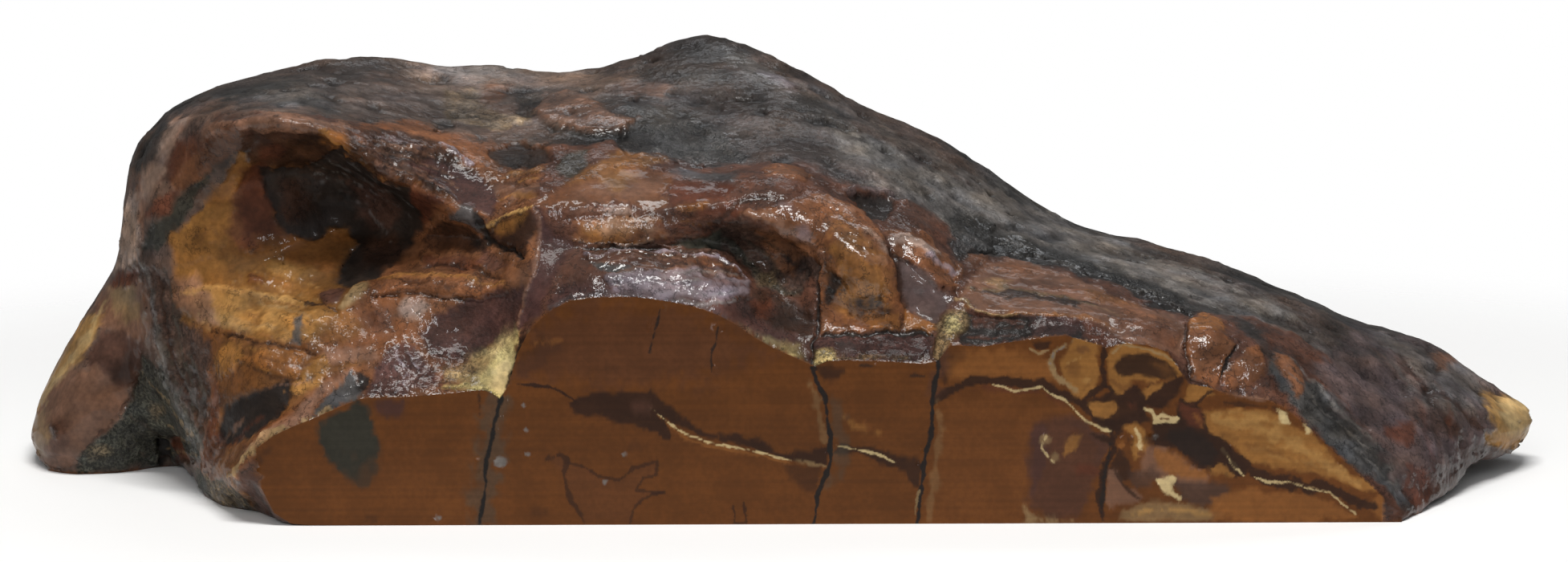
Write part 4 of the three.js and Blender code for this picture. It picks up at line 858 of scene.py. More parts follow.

# %% [markdown]
# ## The rind
# The old outer skin of the stone covers the top. It is grey-black and satin, with beige, rust and
# rose stains on the left, a rough crust above the buttress, and long streaks down the right slope,
# where a painted grey sheen lies over it.

# %% Forms of the rind
RIND = [
    patch("500,60 760,60 800,110 700,175 430,150 400,110", "rind_brown", 22, 0.75),
    patch("500,86 600,72 790,98 740,114 580,114 520,108", "blush", 14, 0.5, wet=0.15),
    patch("540,80 620,72 700,84 640,96 560,96", "ash_and_sheen", 12, 0.6, wet=0.1),
    patch("594,120 612,106 642,109 628,125 607,130", "sienna", 6, 0.7, 0.1),
    patch("552,113 588,109 604,128 634,144 668,136 660,152 623,160 556,146", "tan", 5, 0.6, 0.0, 0.8, 0.0),
    patch("552,118 590,112 610,134 650,146 620,156 560,142", "ash_and_sheen", 9, 0.4, 0, 0.8, 0.0),
    patch("640,118 672,112 676,134 650,140", "rind_dark", 5, 0.8, -0.15, 0.8),
    patch("540,149 560,146 567,157 545,160", "pitch_and_shade", 4, 0.9, -0.3),
    patch("650,138 668,139 670,146 652,146", "pitch_and_shade", 3, 0.8, -0.2),
    patch("671,136 685,120 706,112 738,122 744,133 768,146 797,146 781,160 760,165 679,154", "rose", 5, 0.9,
          0.45, 0.25, 0.8),
    line("676,158 748,168 776,164", "rind_dark", 7, 3, 0.8, -0.3),
    patch("760,176 808,152 861,149 915,171 930,195 915,213 878,213 808,202", "rind", 6, 0.9, 0.15, 0.9,
          0.8),
    patch("762,170 786,160 812,166 826,180 812,192 784,194 766,184", "pitch_and_shade", 5, 0.85, -0.5, 0.6, 0.2),
    patch("828,156 866,156 892,174 880,186 850,178", "pitch_and_shade", 5, 0.6, -0.2, 0.9, 0.6),
    line("813,204 845,207 878,209", "pitch_and_shade", 6, 2, 0.9, -0.3),
    spot("890,67", "45,9", "rind_dark", 8, share=0.8),
    # The ash and lilac spots at the peak are painted sheen on the satin rind.
    spot("873,96", "28,9", "ash_and_sheen", 9, share=0.35),
    spot("945,86", "48,12", "ash_and_sheen", 9, 28, 0.6, 0.2, 0.3, 0.9),
    spot("968,98", "26,6", "lilac_highlight", 6, 28, 0.5, 0.2, 0.2, 1.0),
    line("880,120 940,128 1000,150", "pitch_and_shade", 9, 5, 0.6, -0.2, 0.6),
    patch("770,100 835,104 830,120 780,122", "rose", 8, 0.55),
    line("744,122 790,126 837,130", "rind_dark", 9, 4, 0.7, -0.15),
    line("896,124 925,127 958,133", "rind_dark", 9, 4, 0.7, -0.15),
    patch("1037,194 1069,194 1099,212 1113,232 1046,212", "rind_brown", 5, 0.8, 0.3, 0.3),
    # A broad painted grey sheen down the right slope of the rind.
    patch("1040,160 1620,395 1560,398 1420,345 1200,290 1040,200", "ash_and_sheen", 18, 0.8, 0.0, 0.3),
    patch("760,84 850,40 910,50 970,90 960,124", "pitch_and_shade", 16, 0.6),
    patch("200,140 240,110 320,90 500,78 520,92 330,116 230,150", "rind_dark", 12, 0.6),
    patch("660,100 760,90 900,110 1000,150 1160,262 960,200 860,140", "bark", 22, 0.35),
    patch("1172,266 1210,268 1260,284 1470,366 1500,390 1478,396 1370,352 1270,322 1225,318 1190,330",
          "rind_dark", 6, 0.9, 0.1, 0.9, 0.8),
    spot("1250,284", "12,6", "pitch_and_shade", 3, share=0.9, rise=-0.45, wet=0.8),
    line("1206,318 1240,312 1290,318 1340,332 1484,394", "pitch_and_shade", 7, 2.5, 0.85, -0.4),
    patch("1360,321 1394,328 1400,340 1366,334", "rind_dark", 4, 0.8, -0.2, 0.5),
    line("1422,378 1450,384 1481,391", "pitch_and_shade", 5, 1.5, 0.85, -0.25),
    line("1500,365 1580,400 1660,440", "ash_and_sheen", 9, 6, 0.25),
    line("1450,360 1530,396 1600,436", "rind_dark", 8, 4, 0.6, -0.2),
    patch("1206,319 1232,319 1227,332 1208,334", "sienna", 3, 0.6, 0.15),
    line("1190,330 1187,350 1192,370", "rind_dark", 7, 2, 0.8, -0.35),
    # More painted grey sheen on the upper right slope.
    patch("1080,190 1200,215 1400,295 1430,330 1300,320 1150,275", "ash_and_sheen", 26, 0.22),
]
RIND += (
    streaks("960,80 1100,150 1300,265 1560,365", "1100,215 1200,262 1350,322 1600,405", 22,
            ("ash_and_sheen", "rind_dark", "ash_and_sheen", "rind_brown"), 6, 0.22, 0.15, 25)
    + streaks("250,130 400,90 600,90 830,70", "270,150 430,140 600,160 760,160", 16,
            ("rind_dark", "rind_brown", "ash_and_sheen"), 6, 0.2, 0.12, 26)
)
# A painted highlight on one wet fold, and painted shade in the deepest gaps, where no light gets in, come
# after all the others.
PAINTED_GLINT_AND_SHADE = [
    spot("825,360", "52,9", "lilac_highlight", 8, 6, 0.6, wet=0.9),
    spot("1242,410", "30,13", "pitch_and_shade", 8, 8, 0.5, wet=0.1),
    spot("975,392", "24,12", "pitch_and_shade", 7, 0, 0.5, wet=0.1),
    spot("645,198", "26,8", "pitch_and_shade", 6, 0, 0.6, wet=0.1),
]
SKIN_FORMS = RIND + LEFT_LOBE + HOLLOW + CRUMPLE + BUTTRESS + SHELF + RIGHT_LOBE + PAINTED_GLINT_AND_SHADE
print(len(RIND), "forms on the rind;", len(SKIN_FORMS), "on the natural skin in all")

# %% [markdown]
# ## Paint and relief at any point
# One function says, for any points of the piece, what colour they have, how glossy they are, how
# coarse their crust is, and how far they stand out. The same answer serves twice: it tells where the
# mesh has to be fine, and later it is what the mesh keeps. Points are looked up with a slightly
# wandering gaze, so that no outline runs as smoothly as it was drawn.

# %% Where the rind begins, seen from the eye
RIND_EDGE = listed(
    "0,200 170,200 205,160 240,143 290,134 380,138 430,150 470,160 520,168 560,184 640,192 690,180 "
    "740,174 790,178 830,198 880,206 920,210 950,204 990,208 1020,220 1060,232 1120,250 1150,262 "
    "1175,280 1205,308 1240,318 1300,326 1340,334 1400,354 1450,374 1480,386 1530,392 1570,396 "
    "1600,410 1680,458 1720,480 1760,470 1960,560"
)
PLANE_REACH = 0.02 * MM
WANDER = [(9, 4.0), (3, 3.0), (1.2, 2.4), (0.5, 1.5)]  # size in mm, reach in pixels
FACE_WANDER = 0.5  # outlines on the polished face are steadier
RAGGED = 1.1  # how frayed the edge of a form is
BREAK_SHADE = 0.72  # painted shade: the break is darker as a whole than its colours alone


def zones(points):
    """Which points lie on the polished face, and which on the sawn base."""
    on_face = points[:, 1] < low.y + PLANE_REACH
    on_base = points[:, 2] < low.z + PLANE_REACH
    return on_face, on_base


def gaze(points, wander):
    """Where points are looked up: as seen from the eye, but a little out of true."""
    across, down = seen_at(points)
    for seed, (size, reach) in enumerate(WANDER):
        across = across + wander * reach * noise(points, size * MM, 40 + seed)
        down = down + wander * reach * noise(points, size * MM, 50 + seed)
    return across, down


def lay_on(forms, across, down, coat, shown, crisp=0.7):
    """Lays forms onto a coat in their order, where shown is above 0."""
    for form in forms:
        uneven = RAGGED * (form["soft"] + 0.25 * form.get("width", 0))
        away = distance_to(form, across, down) + uneven * coat["ragged"]
        outline = np.exp(-((away / (form["soft"] + 2.5)) ** 2)) * shown * form["share"] / form["soft"]
        coat["detail"] = np.maximum(coat["detail"], outline * (2.5 if form["kind"] == "line" else 1.0))
        share = rise_over(away, -crisp * form["soft"], crisp * form["soft"]) * form["share"] * shown
        near = share > 0.002
        if not near.any():
            continue
        s = share[near]
        speck = coat["speck"][near] * form["grain"]
        colour = np.array(PALETTE[form["colour"]])[None, :] * np.exp(speck)[:, None]
        coat["tint"][near] += s[:, None] * (colour - coat["tint"][near])
        coat["rise"][near] += s * form["rise"]
        coat["calm"][near] += s * (form["calm"] - coat["calm"][near])
        coat["crust"][near] += s * (min(1, form["grain"] * 1.4) - coat["crust"][near])
        if form["wet"] is not None:
            coat["wet"][near] += s * (form["wet"] - coat["wet"][near])


def paint(points, facing):
    """The coat at each point, and whether it lies on the polished face or on the sawn base.

    tint is the colour, wet the gloss, crust the coarseness, rise the height in mm, calm how smooth
    the break is there, broken how far the place is break and not rind, and detail how fine the mesh
    has to be. speck and ragged are the noise that forms are laid on with."""
    on_face, on_base = zones(points)
    across, down = gaze(points, 1)
    edge = np.interp(across, RIND_EDGE[:, 0], RIND_EDGE[:, 1])
    front = rise_over(facing, -0.10, 0.08)
    below_edge = rise_over(down - edge, -3, 5) * front
    coat = {
        "tint": np.empty((len(points), 3)),
        "wet": 0.30 + 0.12 * below_edge,
        "crust": 0.55 - 0.4 * below_edge,
        "rise": np.zeros(len(points)),
        "detail": np.zeros(len(points)),
        "calm": np.zeros(len(points)),
        "speck": 1.3 * layered(points, 0.9 * MM, 31, 2),
        "ragged": layered(points, 1.0 * MM, 33, 3),
        "broken": below_edge,
    }
    old = np.array(PALETTE["rind"])
    brown = np.array(PALETTE["rind_brown"])
    dark = np.array(PALETTE["rind_dark"])
    stain = rise_over(layered(points, (16 * MM, 12 * MM, 7 * MM), 3), -0.35, 0.5)[:, None]
    blot = rise_over(layered(points, (5 * MM, 4 * MM, 2.5 * MM), 5), 0.05, 0.6)[:, None]
    skin = old + (brown - old) * stain * 0.8
    skin = skin + (dark - skin) * blot * 0.55
    fresh = np.array(PALETTE["mahogany"]) * np.exp(0.4 * layered(points, 4 * MM, 7))[:, None]
    coat["tint"][:] = skin + (fresh - skin) * below_edge[:, None]
    lay_on(SKIN_FORMS, across, down, coat, front * ~on_face * ~on_base)
    drift = 0.30 * layered(points, (7 * MM, 7 * MM, 3 * MM), 11)
    drift += (0.42 + 0.38 * below_edge) * (1 - 0.6 * coat["calm"]) * layered(points, 2.2 * MM, 13, 3)
    warm = 0.8 * layered(points, (4 * MM, 4 * MM, 2 * MM), 19, 3)
    hue = np.stack([0.10 * warm, -0.06 * warm, -0.30 * warm], axis=1)
    coat["tint"] *= np.exp(drift[:, None] + hue)
    # Painted shade: the whole break is darkened below its own colours.
    coat["tint"] *= (1 + (BREAK_SHADE - 1) * below_edge)[:, None]
    cut = on_face | on_base
    coat["rise"][cut] = 0
    coat["detail"][cut] = 0
    cloud = 1 + 0.10 * layered(points[cut], (30 * MM, 30 * MM, 6 * MM), 17)
    coat["tint"][cut] = np.array(PALETTE["caramel"]) * cloud[:, None]
    coat["wet"][cut] = 0.5
    coat["crust"][cut] = 0
    across, down = gaze(points, FACE_WANDER)
    face_coat = {key: value[on_face] for key, value in coat.items()}
    lay_on(FACE_FORMS, across[on_face], down[on_face], face_coat, np.ones(on_face.sum()), 0.5)
    for key, value in face_coat.items():
        coat[key][on_face] = value
    return coat, on_face, on_base


# %% [markdown]
# ## A finer skin
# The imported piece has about 9,000 flat faces. Its copy is split where the stone needs it: first
# until no edge is long, then wherever two ends of an edge differ most in colour or in relief. Each
# round splits the edges with the highest need, so the number of triangles stays under control.

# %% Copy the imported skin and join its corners
def select_only(piece):
    bpy.ops.object.select_all(action="DESELECT")
    piece.select_set(True)
    bpy.context.view_layer.objects.active = piece


def in_edit_mode(piece, work):
    select_only(piece)
    bpy.ops.object.mode_set(mode="EDIT")
    work()
    bpy.ops.object.mode_set(mode="OBJECT")


def join_corners():
    bpy.ops.mesh.select_all(action="SELECT")
    bpy.ops.mesh.remove_doubles(threshold=0.001 * MM)


stone = bpy.data.objects.new("polished_fossil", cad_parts[NODE].data.copy())
bpy.context.scene.collection.objects.link(stone)
stone.data.materials.clear()
in_edit_mode(stone, join_corners)
print("copied:", len(stone.data.polygons), "faces,", len(stone.data.vertices), "corners")


# %% Facing, edges and splitting
def normals_of(mesh):
    flat = np.empty(len(mesh.vertices) * 3)
    mesh.vertex_normals.foreach_get("vector", flat)
    return flat.reshape(-1, 3)


def facing_of(points, normals):
    """How squarely the skin faces the eye, from -1 (away) to 1 (straight at it)."""
    towards = np.array(eye) - points
    towards /= np.linalg.norm(towards, axis=1)[:, None]
    return (towards * normals).sum(1)


def edge_ends(mesh):
    ends = np.empty(len(mesh.edges) * 2, np.int64)
    mesh.edges.foreach_get("vertices", ends)
    return ends.reshape(-1, 2)


def split_edges(piece, chosen):
    mesh = piece.data
    mesh.polygons.foreach_set("select", np.zeros(len(mesh.polygons), bool))
    mesh.vertices.foreach_set("select", np.zeros(len(mesh.vertices), bool))
    mesh.edges.foreach_set("select", chosen)

    def work():
        bpy.ops.mesh.subdivide(number_cuts=1)
        bpy.ops.mesh.select_all(action="SELECT")
        bpy.ops.mesh.quads_convert_to_tris(quad_method="SHORTEST_DIAGONAL", ngon_method="BEAUTY")

    bpy.context.tool_settings.mesh_select_mode = (False, True, False)
    in_edit_mode(piece, work)


EVEN_LENGTH = {"front": 0.9 * MM, "away": 2.6 * MM}
for _ in range(4):
    points, ends = points_of(stone.data), edge_ends(stone.data)
    facing = facing_of(points, normals_of(stone.data))
    length = np.linalg.norm(points[ends[:, 0]] - points[ends[:, 1]], axis=1)
    seen = rise_over(facing[ends].max(1), -0.15, 0.1)
    wanted = EVEN_LENGTH["away"] + (EVEN_LENGTH["front"] - EVEN_LENGTH["away"]) * seen
    chosen = length > 1.4 * wanted
    if not chosen.any():
        break
    split_edges(stone, chosen)
print("evenly split:", len(stone.data.polygons), "triangles")

# %% [markdown]
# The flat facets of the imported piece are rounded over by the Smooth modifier. The two sawn planes
# are left out of it through a vertex group, so they stay flat and their edges crisp.

# %% Round the facets, but not the sawn planes
def smooth_free(piece, factor, rounds):
    points = points_of(piece.data)
    on_face, on_base = zones(points)
    group = piece.vertex_groups.new(name="free")
    free = np.nonzero(~(on_face | on_base))[0]
    group.add(free.tolist(), 1.0, "REPLACE")
    modifier = piece.modifiers.new("round over", "SMOOTH")
    modifier.factor = factor
    modifier.iterations = rounds
    modifier.vertex_group = group.name
    select_only(piece)
    bpy.ops.object.modifier_apply(modifier=modifier.name)
    piece.vertex_groups.clear()


smooth_free(stone, 0.5, 5)
print("rounded over")

# %% [markdown]
# Then the mesh is split by need. The need of an edge is its length, multiplied up where colour or
# relief changes along it.

# %% Split where colour and relief change
MOST_TRIANGLES = 196_000
SHORTEST = 0.13 * MM
NEED = {"colour": 5.0, "rise": 5.0, "detail": 1.6, "seen": 1.0, "away": 0.22, "face": 1.3}
for share in (0.45, 0.6, 0.75, 0.9, 1.0):
    points, ends = points_of(stone.data), edge_ends(stone.data)
    facing = facing_of(points, normals_of(stone.data))
    coat, on_face, on_base = paint(points, facing)
    a, b = ends.T
    length = np.linalg.norm(points[a] - points[b], axis=1)
    tone = np.sqrt(coat["tint"])
    change = NEED["colour"] * np.abs(tone[a] - tone[b]).max(1)
    change += NEED["rise"] * np.abs(coat["rise"][a] - coat["rise"][b])
    change += NEED["detail"] * np.maximum(coat["detail"][a], coat["detail"][b])
    facing_eye = rise_over(np.maximum(facing[a], facing[b]), -0.1, 0.15)
    seen = NEED["away"] + (NEED["seen"] - NEED["away"]) * facing_eye
    seen = np.where(on_face[a] & on_face[b], NEED["face"] * seen, seen)
    need = length * seen * (1 + change)
    need[length < 2 * SHORTEST] = 0
    room = int((MOST_TRIANGLES * share - len(stone.data.polygons)) / 2)
    if room > 0:
        chosen = np.zeros(len(need), bool)
        chosen[np.argsort(need)[-room:]] = True
        split_edges(stone, chosen & (need > 0))
    print("split by need:", len(stone.data.polygons), "triangles")

# %% [markdown]
# ## Relief
# The named forms are raised or sunk along the skin's own direction. Between them the break is
# hackly: lacquered chips with sharp ridges between shallow hollows. The rind is rough in a finer
# way, and drawn out along the length of the piece.

# %% Raise and sink the skin
RELIEF_SHADE_TONE = 2.8  # how much darker low places and lighter high places are: painted shade and painted highlight
HACKLE = [(5.5, 0.42), (2.4, 0.24), (1.1, 0.12)]  # size and height, mm
RIND_GRAIN = [((9, 6, 4), 0.36), ((3.2, 2.2, 1.6), 0.26), ((1.1, 0.9, 0.7), 0.11)]
CHIPS = [(4.2, 0.34, 5), (1.6, 0.20, 9)]  # size, height, seed
PIT_DEPTH = 0.42


def chips(points, size, seed):
    """Shallow tilted facets, each with its own lean, from 0 to 1 over about their size."""
    place = points / size + seed * 3.7
    cell = np.floor(place).astype(np.int64)
    best = np.full(len(points), 1e9)
    height = np.zeros(len(points))
    for offset in np.ndindex(3, 3, 3):
        corner = cell + np.array(offset) - 1
        jitter = [lattice(*(corner + 7 * (axis + 1) + seed).T) * 0.5 + 0.5 for axis in range(3)]
        middle = corner + np.stack(jitter, axis=1)
        away = place - middle
        distance = (away ** 2).sum(1)
        lean = np.stack([lattice(*(corner + 31 * (axis + 1) + seed).T) for axis in range(3)], axis=1)
        closer = distance < best
        best = np.where(closer, distance, best)
        height = np.where(closer, (away * lean).sum(1), height)
    return height


points = points_of(stone.data)
normals = normals_of(stone.data)
facing = facing_of(points, normals)
coat, on_face, on_base = paint(points, facing)
free = ~(on_face | on_base)
broken = coat["broken"]
out = coat["rise"].copy()
hackle = sum(
    height * (1 - 2 * np.abs(layered(points, size * MM, 60 + n, 2)))
    for n, (size, height) in enumerate(HACKLE)
)
chipped = sum(height * chips(points, size * MM, seed) for size, height, seed in CHIPS)
grain = sum(
    height * layered(points, np.array(size) * MM, 70 + n, 2)
    for n, (size, height) in enumerate(RIND_GRAIN)
)
rough = broken * 0.6 * (hackle + chipped) * (1 - coat["calm"])
pits = -PIT_DEPTH * rise_over(noise(points, (2.6 * MM, 1.8 * MM, 1.5 * MM), 84), 0.38, 0.75)
rough += (1 - broken) * (grain * (0.7 + 0.8 * coat["crust"]) + pits)
rough += 0.16 * coat["crust"] * layered(points, 0.8 * MM, 81, 2)
out += rough
near_cut = rise_over(np.minimum(points[:, 1] - low.y, points[:, 2] - low.z), 0.0, 0.8 * MM)
out = out * free * near_cut
# Painted shade in the low places of the relief and painted highlight on its high places, multiplied into the
# colour.
relief_shade_and_highlight = np.exp(np.clip(RELIEF_SHADE_TONE * rough, -1.2, 0.4) * free * near_cut)
coat["tint"] *= relief_shade_and_highlight[:, None]
moved = points + normals * (out * MM)[:, None]
moved = np.clip(moved, np.array(low), np.array(high))
moved[free, 1] = np.maximum(moved[free, 1], low.y + 2 * PLANE_REACH)
moved[free, 2] = np.maximum(moved[free, 2], low.z + 2 * PLANE_REACH)
stone.data.vertices.foreach_set("co", moved.ravel())
stone.data.update()
print("relief from", round(float(out.min()), 2), "to", round(float(out.max()), 2), "mm")


# %% Keep the paint on the mesh
def keep(piece, name, kind, values):
    attribute = piece.data.attributes.new(name, kind, "POINT")
    if kind == "FLOAT_COLOR":
        values = np.concatenate([values, np.ones((len(values), 1))], axis=1)
        attribute.data.foreach_set("color", values.ravel())
    else:
        attribute.data.foreach_set("value", values)


keep(stone, "tint", "FLOAT_COLOR", coat["tint"])
for name in ("wet", "crust", "broken", "calm"):
    keep(stone, name, "FLOAT", coat[name])
print("paint kept on", len(points), "points")

# %% [markdown]
# ## Materials
# Three finishes share one stone. The face has a satin machine polish with very fine saw lines, the
# base is sawn and dull, and the natural skin runs from thick wet lacquer on the break to a satin,
# slightly dusty rind. What they have in common, a fine colour fleck, is one shader node group.

# %% Node helpers
def value_node(tree, kind, operation, first, second):
    node = tree.nodes.new(kind)
    node.operation = operation
    for socket, value in zip(node.inputs, (first, second)):
        if isinstance(value, (int, float, tuple)):
            socket.default_value = value
        else:
            tree.links.new(value, socket)
    return next(output for output in node.outputs if output.enabled)


def times(tree, first, second):
    return value_node(tree, "ShaderNodeMath", "MULTIPLY", first, second)


def noise_node(tree, place, scale, detail, roughness=0.55, stretch=(1, 1, 1)):
    mapping = tree.nodes.new("ShaderNodeMapping")
    mapping.inputs["Scale"].default_value = stretch
    tree.links.new(place, mapping.inputs["Vector"])
    node = tree.nodes.new("ShaderNodeTexNoise")
    node.inputs["Scale"].default_value = scale
    node.inputs["Detail"].default_value = detail
    node.inputs["Roughness"].default_value = roughness
    tree.links.new(mapping.outputs[0], node.inputs["Vector"])
    return node.outputs["Fac"]


def between(tree, value, start, end, at_start, at_end):
    node = tree.nodes.new("ShaderNodeMapRange")
    node.interpolation_type = "SMOOTHSTEP"
    names = ("From Min", "From Max", "To Min", "To Max")
    for name, number in zip(names, (start, end, at_start, at_end)):
        node.inputs[name].default_value = number
    tree.links.new(value, node.inputs["Value"])
    return node.outputs[0]


def kept_value(tree, name, output="Fac"):
    node = tree.nodes.new("ShaderNodeAttribute")
    node.attribute_name = name
    return node.outputs[output]


# %% The fleck shared by all three finishes
def stone_fleck():
    """Brightness fleck of the stone at two sizes, as one factor near 1."""
    group = bpy.data.node_groups.new("stone_fleck", "ShaderNodeTree")
    group.interface.new_socket("Shade", in_out="OUTPUT", socket_type="NodeSocketFloat")
    place = group.nodes.new("ShaderNodeTexCoord").outputs["Object"]
    broad = noise_node(group, place, 260, 3)
    fine = noise_node(group, place, 1500, 3)
    broad_shade = between(group, broad, 0.3, 0.7, 0.80, 1.2)
    fine_shade = between(group, fine, 0.3, 0.7, 0.84, 1.16)
    shade = times(group, broad_shade, fine_shade)
    group.links.new(shade, group.nodes.new("NodeGroupOutput").inputs["Shade"])
    return group


FLECK = stone_fleck()


def new_finish(name):
    material = bpy.data.materials.new(name)
    material.use_nodes = True
    tree = material.node_tree
    fleck = tree.nodes.new("ShaderNodeGroup")
    fleck.node_tree = FLECK
    place = tree.nodes.new("ShaderNodeTexCoord").outputs["Object"]
    return material, tree, tree.nodes["Principled BSDF"], fleck.outputs["Shade"], place


def shaded(tree, colour, shade):
    mix = tree.nodes.new("ShaderNodeVectorMath")
    mix.operation = "SCALE"
    tree.links.new(colour, mix.inputs[0])
    tree.links.new(shade, mix.inputs["Scale"])
    return mix.outputs[0]


def bumped(tree, height, strength, distance, before=None):
    bump = tree.nodes.new("ShaderNodeBump")
    bump.inputs["Strength"].default_value = strength
    bump.inputs["Distance"].default_value = distance
    tree.links.new(height, bump.inputs["Height"])
    if before is not None:
        tree.links.new(before, bump.inputs["Normal"])
    return bump.outputs["Normal"]


# %% The polished face
def polished_finish():
    material, tree, shader, fleck, place = new_finish("polished_face")
    tint = kept_value(tree, "tint", "Color")
    saw = noise_node(tree, place, 90, 2, 0.5, (0.25, 1, 24))
    streak = between(tree, saw, 0.3, 0.7, 0.93, 1.07)
    quiet = between(tree, fleck, 0.7, 1.35, 0.88, 1.12)
    shade = times(tree, streak, quiet)
    tree.links.new(shaded(tree, tint, shade), shader.inputs["Base Color"])
    tree.links.new(between(tree, saw, 0.3, 0.7, 0.30, 0.40), shader.inputs["Roughness"])
    tree.links.new(bumped(tree, saw, 0.12, 0.00004), shader.inputs["Normal"])
    shader.inputs["Specular IOR Level"].default_value = 0.15
    return material


# %% The sawn base
def sawn_finish():
    material, tree, shader, fleck, place = new_finish("sawn_base")
    tint = kept_value(tree, "tint", "Color")
    saw = noise_node(tree, place, 60, 2, 0.5, (0.4, 16, 1))
    shade = times(tree, between(tree, saw, 0.3, 0.7, 0.8, 1.15), fleck)
    tree.links.new(shaded(tree, tint, shade), shader.inputs["Base Color"])
    shader.inputs["Roughness"].default_value = 0.62
    tree.links.new(bumped(tree, saw, 0.3, 0.0001), shader.inputs["Normal"])
    return material


# %% The natural skin
def skin_finish():
    material, tree, shader, fleck, place = new_finish("natural_skin")
    tint = kept_value(tree, "tint", "Color")
    wet = kept_value(tree, "wet")
    crust = kept_value(tree, "crust")
    grit = noise_node(tree, place, 2600, 3, 0.6)
    dark_grit = times(tree, crust,
                           between(tree, grit, 0.60, 0.42, 0.0, 1.0))
    speckle = between(tree, dark_grit, 0.0, 1.0, 1.12, 0.35)
    shade = times(tree, speckle, fleck)
    web = noise_node(tree, place, 330, 4, 0.62)
    off_seam = value_node(tree, "ShaderNodeMath", "ABSOLUTE",
                          value_node(tree, "ShaderNodeMath", "SUBTRACT", web, 0.5), 0)
    calm = kept_value(tree, "calm")
    plain_skin = value_node(tree, "ShaderNodeMath", "MAXIMUM", calm,
                            between(tree, crust, 0.3, 0.6, 0.0, 1.0))
    seam = between(tree, off_seam, 0.002, 0.022, 0.5, 0.0)
    seam = times(tree, seam,
                      between(tree, plain_skin, 0.2, 0.7, 1.0, 0.0))
    shade = times(tree, shade,
                       value_node(tree, "ShaderNodeMath", "SUBTRACT", 1.0, seam))
    tree.links.new(shaded(tree, tint, shade), shader.inputs["Base Color"])
    pool = noise_node(tree, place, 330, 2)
    gloss = times(tree, wet, between(tree, pool, 0.3, 0.6, 0.45, 1.0))
    tree.links.new(gloss, shader.inputs["Coat Weight"])
    shader.inputs["Coat Roughness"].default_value = 0.06
    shader.inputs["Coat IOR"].default_value = 1.45
    broken = kept_value(tree, "broken")
    dull = between(tree, broken, 0.0, 1.0, 0.40, 0.60)
    tree.links.new(dull, shader.inputs["Roughness"])
    shader.inputs["Specular IOR Level"].default_value = 0.15
    ripple = noise_node(tree, place, 800, 3, 0.5)
    rough = noise_node(tree, place, 1700, 4, 0.65)
    coarse = times(tree, rough, crust)
    lively = between(tree, calm, 0.0, 1.0, 1.0, 0.15)
    ripple = times(tree, ripple, lively)
    first = bumped(tree, ripple, 0.7, 0.00032)
    second = bumped(tree, coarse, 1.0, 0.00055, first)
    tree.links.new(second, shader.inputs["Normal"])
    glitter = times(tree, rough,
                         between(tree, crust, 0.75, 1.0, 0.0, 1.0))
    tree.links.new(bumped(tree, glitter, 1.0, 0.00045, first), shader.inputs["Coat Normal"])
    return material


for finish in (skin_finish(), polished_finish(), sawn_finish()):
    stone.data.materials.append(finish)

# %% Give each face its finish
SKIN, FACE, BASE = 0, 1, 2
corners = np.empty(len(stone.data.polygons) * 3, np.int64)
stone.data.polygons.foreach_get("vertices", corners)
corners = corners.reshape(-1, 3)
finish_of = np.full(len(corners), SKIN, np.int32)
finish_of[on_face[corners].all(1)] = FACE
finish_of[on_base[corners].all(1)] = BASE
stone.data.polygons.foreach_set("material_index", finish_of)
select_only(stone)
bpy.ops.object.shade_smooth()
print("faces of skin, face, base:", np.bincount(finish_of))

# %% [markdown]
# The sawn planes meet the natural skin at a crisp edge. Every edge between two finishes is marked
# sharp, so the smooth shading stops there.

# %% Keep the edges of the sawn planes crisp
sharp = np.zeros(len(stone.data.edges), bool)
edge_finish = {}
edge_of = {tuple(sorted(pair)): index for index, pair in enumerate(edge_ends(stone.data).tolist())}
for triangle, finish in zip(corners.tolist(), finish_of.tolist()):
    for pair in zip(triangle, triangle[1:] + triangle[:1]):
        index = edge_of[tuple(sorted(pair))]
        if edge_finish.setdefault(index, finish) != finish:
            sharp[index] = True
stone.data.edges.foreach_set("use_edge_sharp", sharp)
print("sharp edges:", int(sharp.sum()))

# %% [markdown]
# ## Table and light
# The piece stands on a white table in a white room. One broad soft lamp hangs above and a little in
# front. A second fills from the front left and shows in no reflection, a tall narrow one gives only
# the glints of a window on the lacquer, and a long one behind puts a sheen on the upper rind.

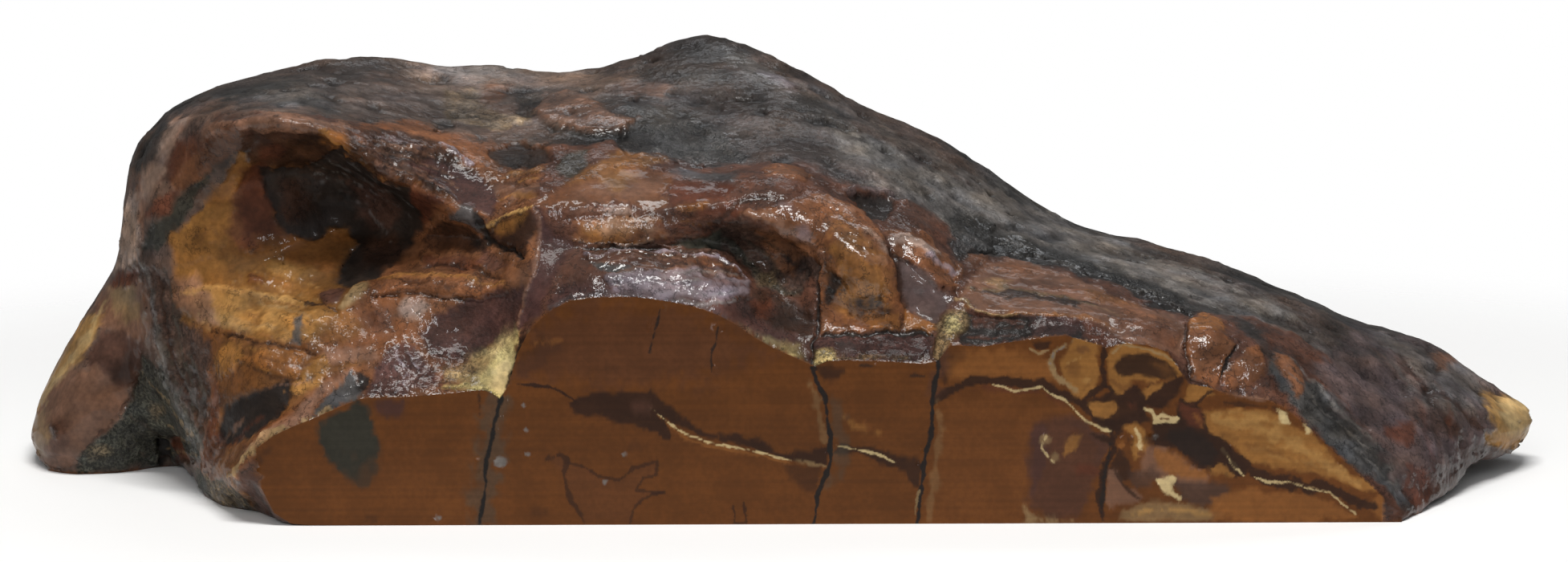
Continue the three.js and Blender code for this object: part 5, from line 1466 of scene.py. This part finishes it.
# %% Floor
floor_mesh = bpy.data.meshes.new("table_top")
reach = 3.0
TABLE_FADE = (0.115, 0.21)  # beyond this the table melts into the white room
floor_mesh.from_pydata(
    [(-reach, -reach, 0), (reach, -reach, 0), (reach, reach, 0), (-reach, reach, 0)], [], [(0, 1, 2, 3)]
)
floor = bpy.data.objects.new("table_top", floor_mesh)
bpy.context.scene.collection.objects.link(floor)
paper = bpy.data.materials.new("white_table")
paper.use_nodes = True
paper_tree = paper.node_tree
paper_shader = paper_tree.nodes["Principled BSDF"]
paper_shader.inputs["Base Color"].default_value = (0.95, 0.95, 0.95, 1)
paper_shader.inputs["Roughness"].default_value = 0.9
paper_place = paper_tree.nodes.new("ShaderNodeTexCoord").outputs["Object"]
from_middle = value_node(paper_tree, "ShaderNodeVectorMath", "LENGTH", paper_place, (0, 0, 0))
paper_tree.links.new(between(paper_tree, from_middle, *TABLE_FADE, 1, 0), paper_shader.inputs["Alpha"])
floor_mesh.materials.append(paper)

# %% World and lamps
world = bpy.data.worlds.new("white_room")
world.use_nodes = True
background = world.node_tree.nodes["Background"]
background.inputs["Color"].default_value = (1.0, 1.0, 1.0, 1)
ROOM_LIGHT, BACKDROP = 0.10, 1.0
seen_directly = world.node_tree.nodes.new("ShaderNodeLightPath").outputs["Is Camera Ray"]
strength = between(world.node_tree, seen_directly, 0, 1, ROOM_LIGHT, BACKDROP)
world.node_tree.links.new(strength, background.inputs["Strength"])
bpy.context.scene.world = world
bpy.context.scene.view_settings.view_transform = "Standard"


def lamp(name, place, aim, size, power, colour=(1, 1, 1), glossy=True, diffuse=True):
    """An oblong soft lamp; it can be left out of reflections (glossy) or of plain light (diffuse)."""
    light = bpy.data.lights.new(name, "AREA")
    light.shape = "RECTANGLE"
    light.size, light.size_y = size
    light.energy = power
    light.color = colour
    light_object = bpy.data.objects.new(name, light)
    light_object.location = place
    light_object.rotation_euler = (Vector(aim) - Vector(place)).to_track_quat("-Z", "Y").to_euler()
    light_object.visible_glossy = glossy
    light_object.visible_diffuse = diffuse
    bpy.context.scene.collection.objects.link(light_object)


lamp("broad_lamp", (0.0, -0.25, 0.80), (0, 0, 0.02), (0.45, 0.16), 6.0, (1.0, 0.99, 0.97))
lamp("front_fill", (-0.15, -1.1, 0.55), (0, 0, 0.02), (0.9, 0.5), 5.0, glossy=False)
lamp("window_glint", (0.06, -0.75, 0.70), (0, 0, 0.02), (0.10, 0.42), 3.8, (0.95, 0.96, 1.0),
     diffuse=False)
lamp("back_sheen", (0.1, 0.55, 0.75), (0, 0, 0.03), (0.6, 0.15), 1.0, (0.93, 0.96, 1.0))

# %% [markdown]
# ## Hand over
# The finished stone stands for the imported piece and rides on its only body.

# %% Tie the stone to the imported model
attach(stone, "root")
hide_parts(NODE)
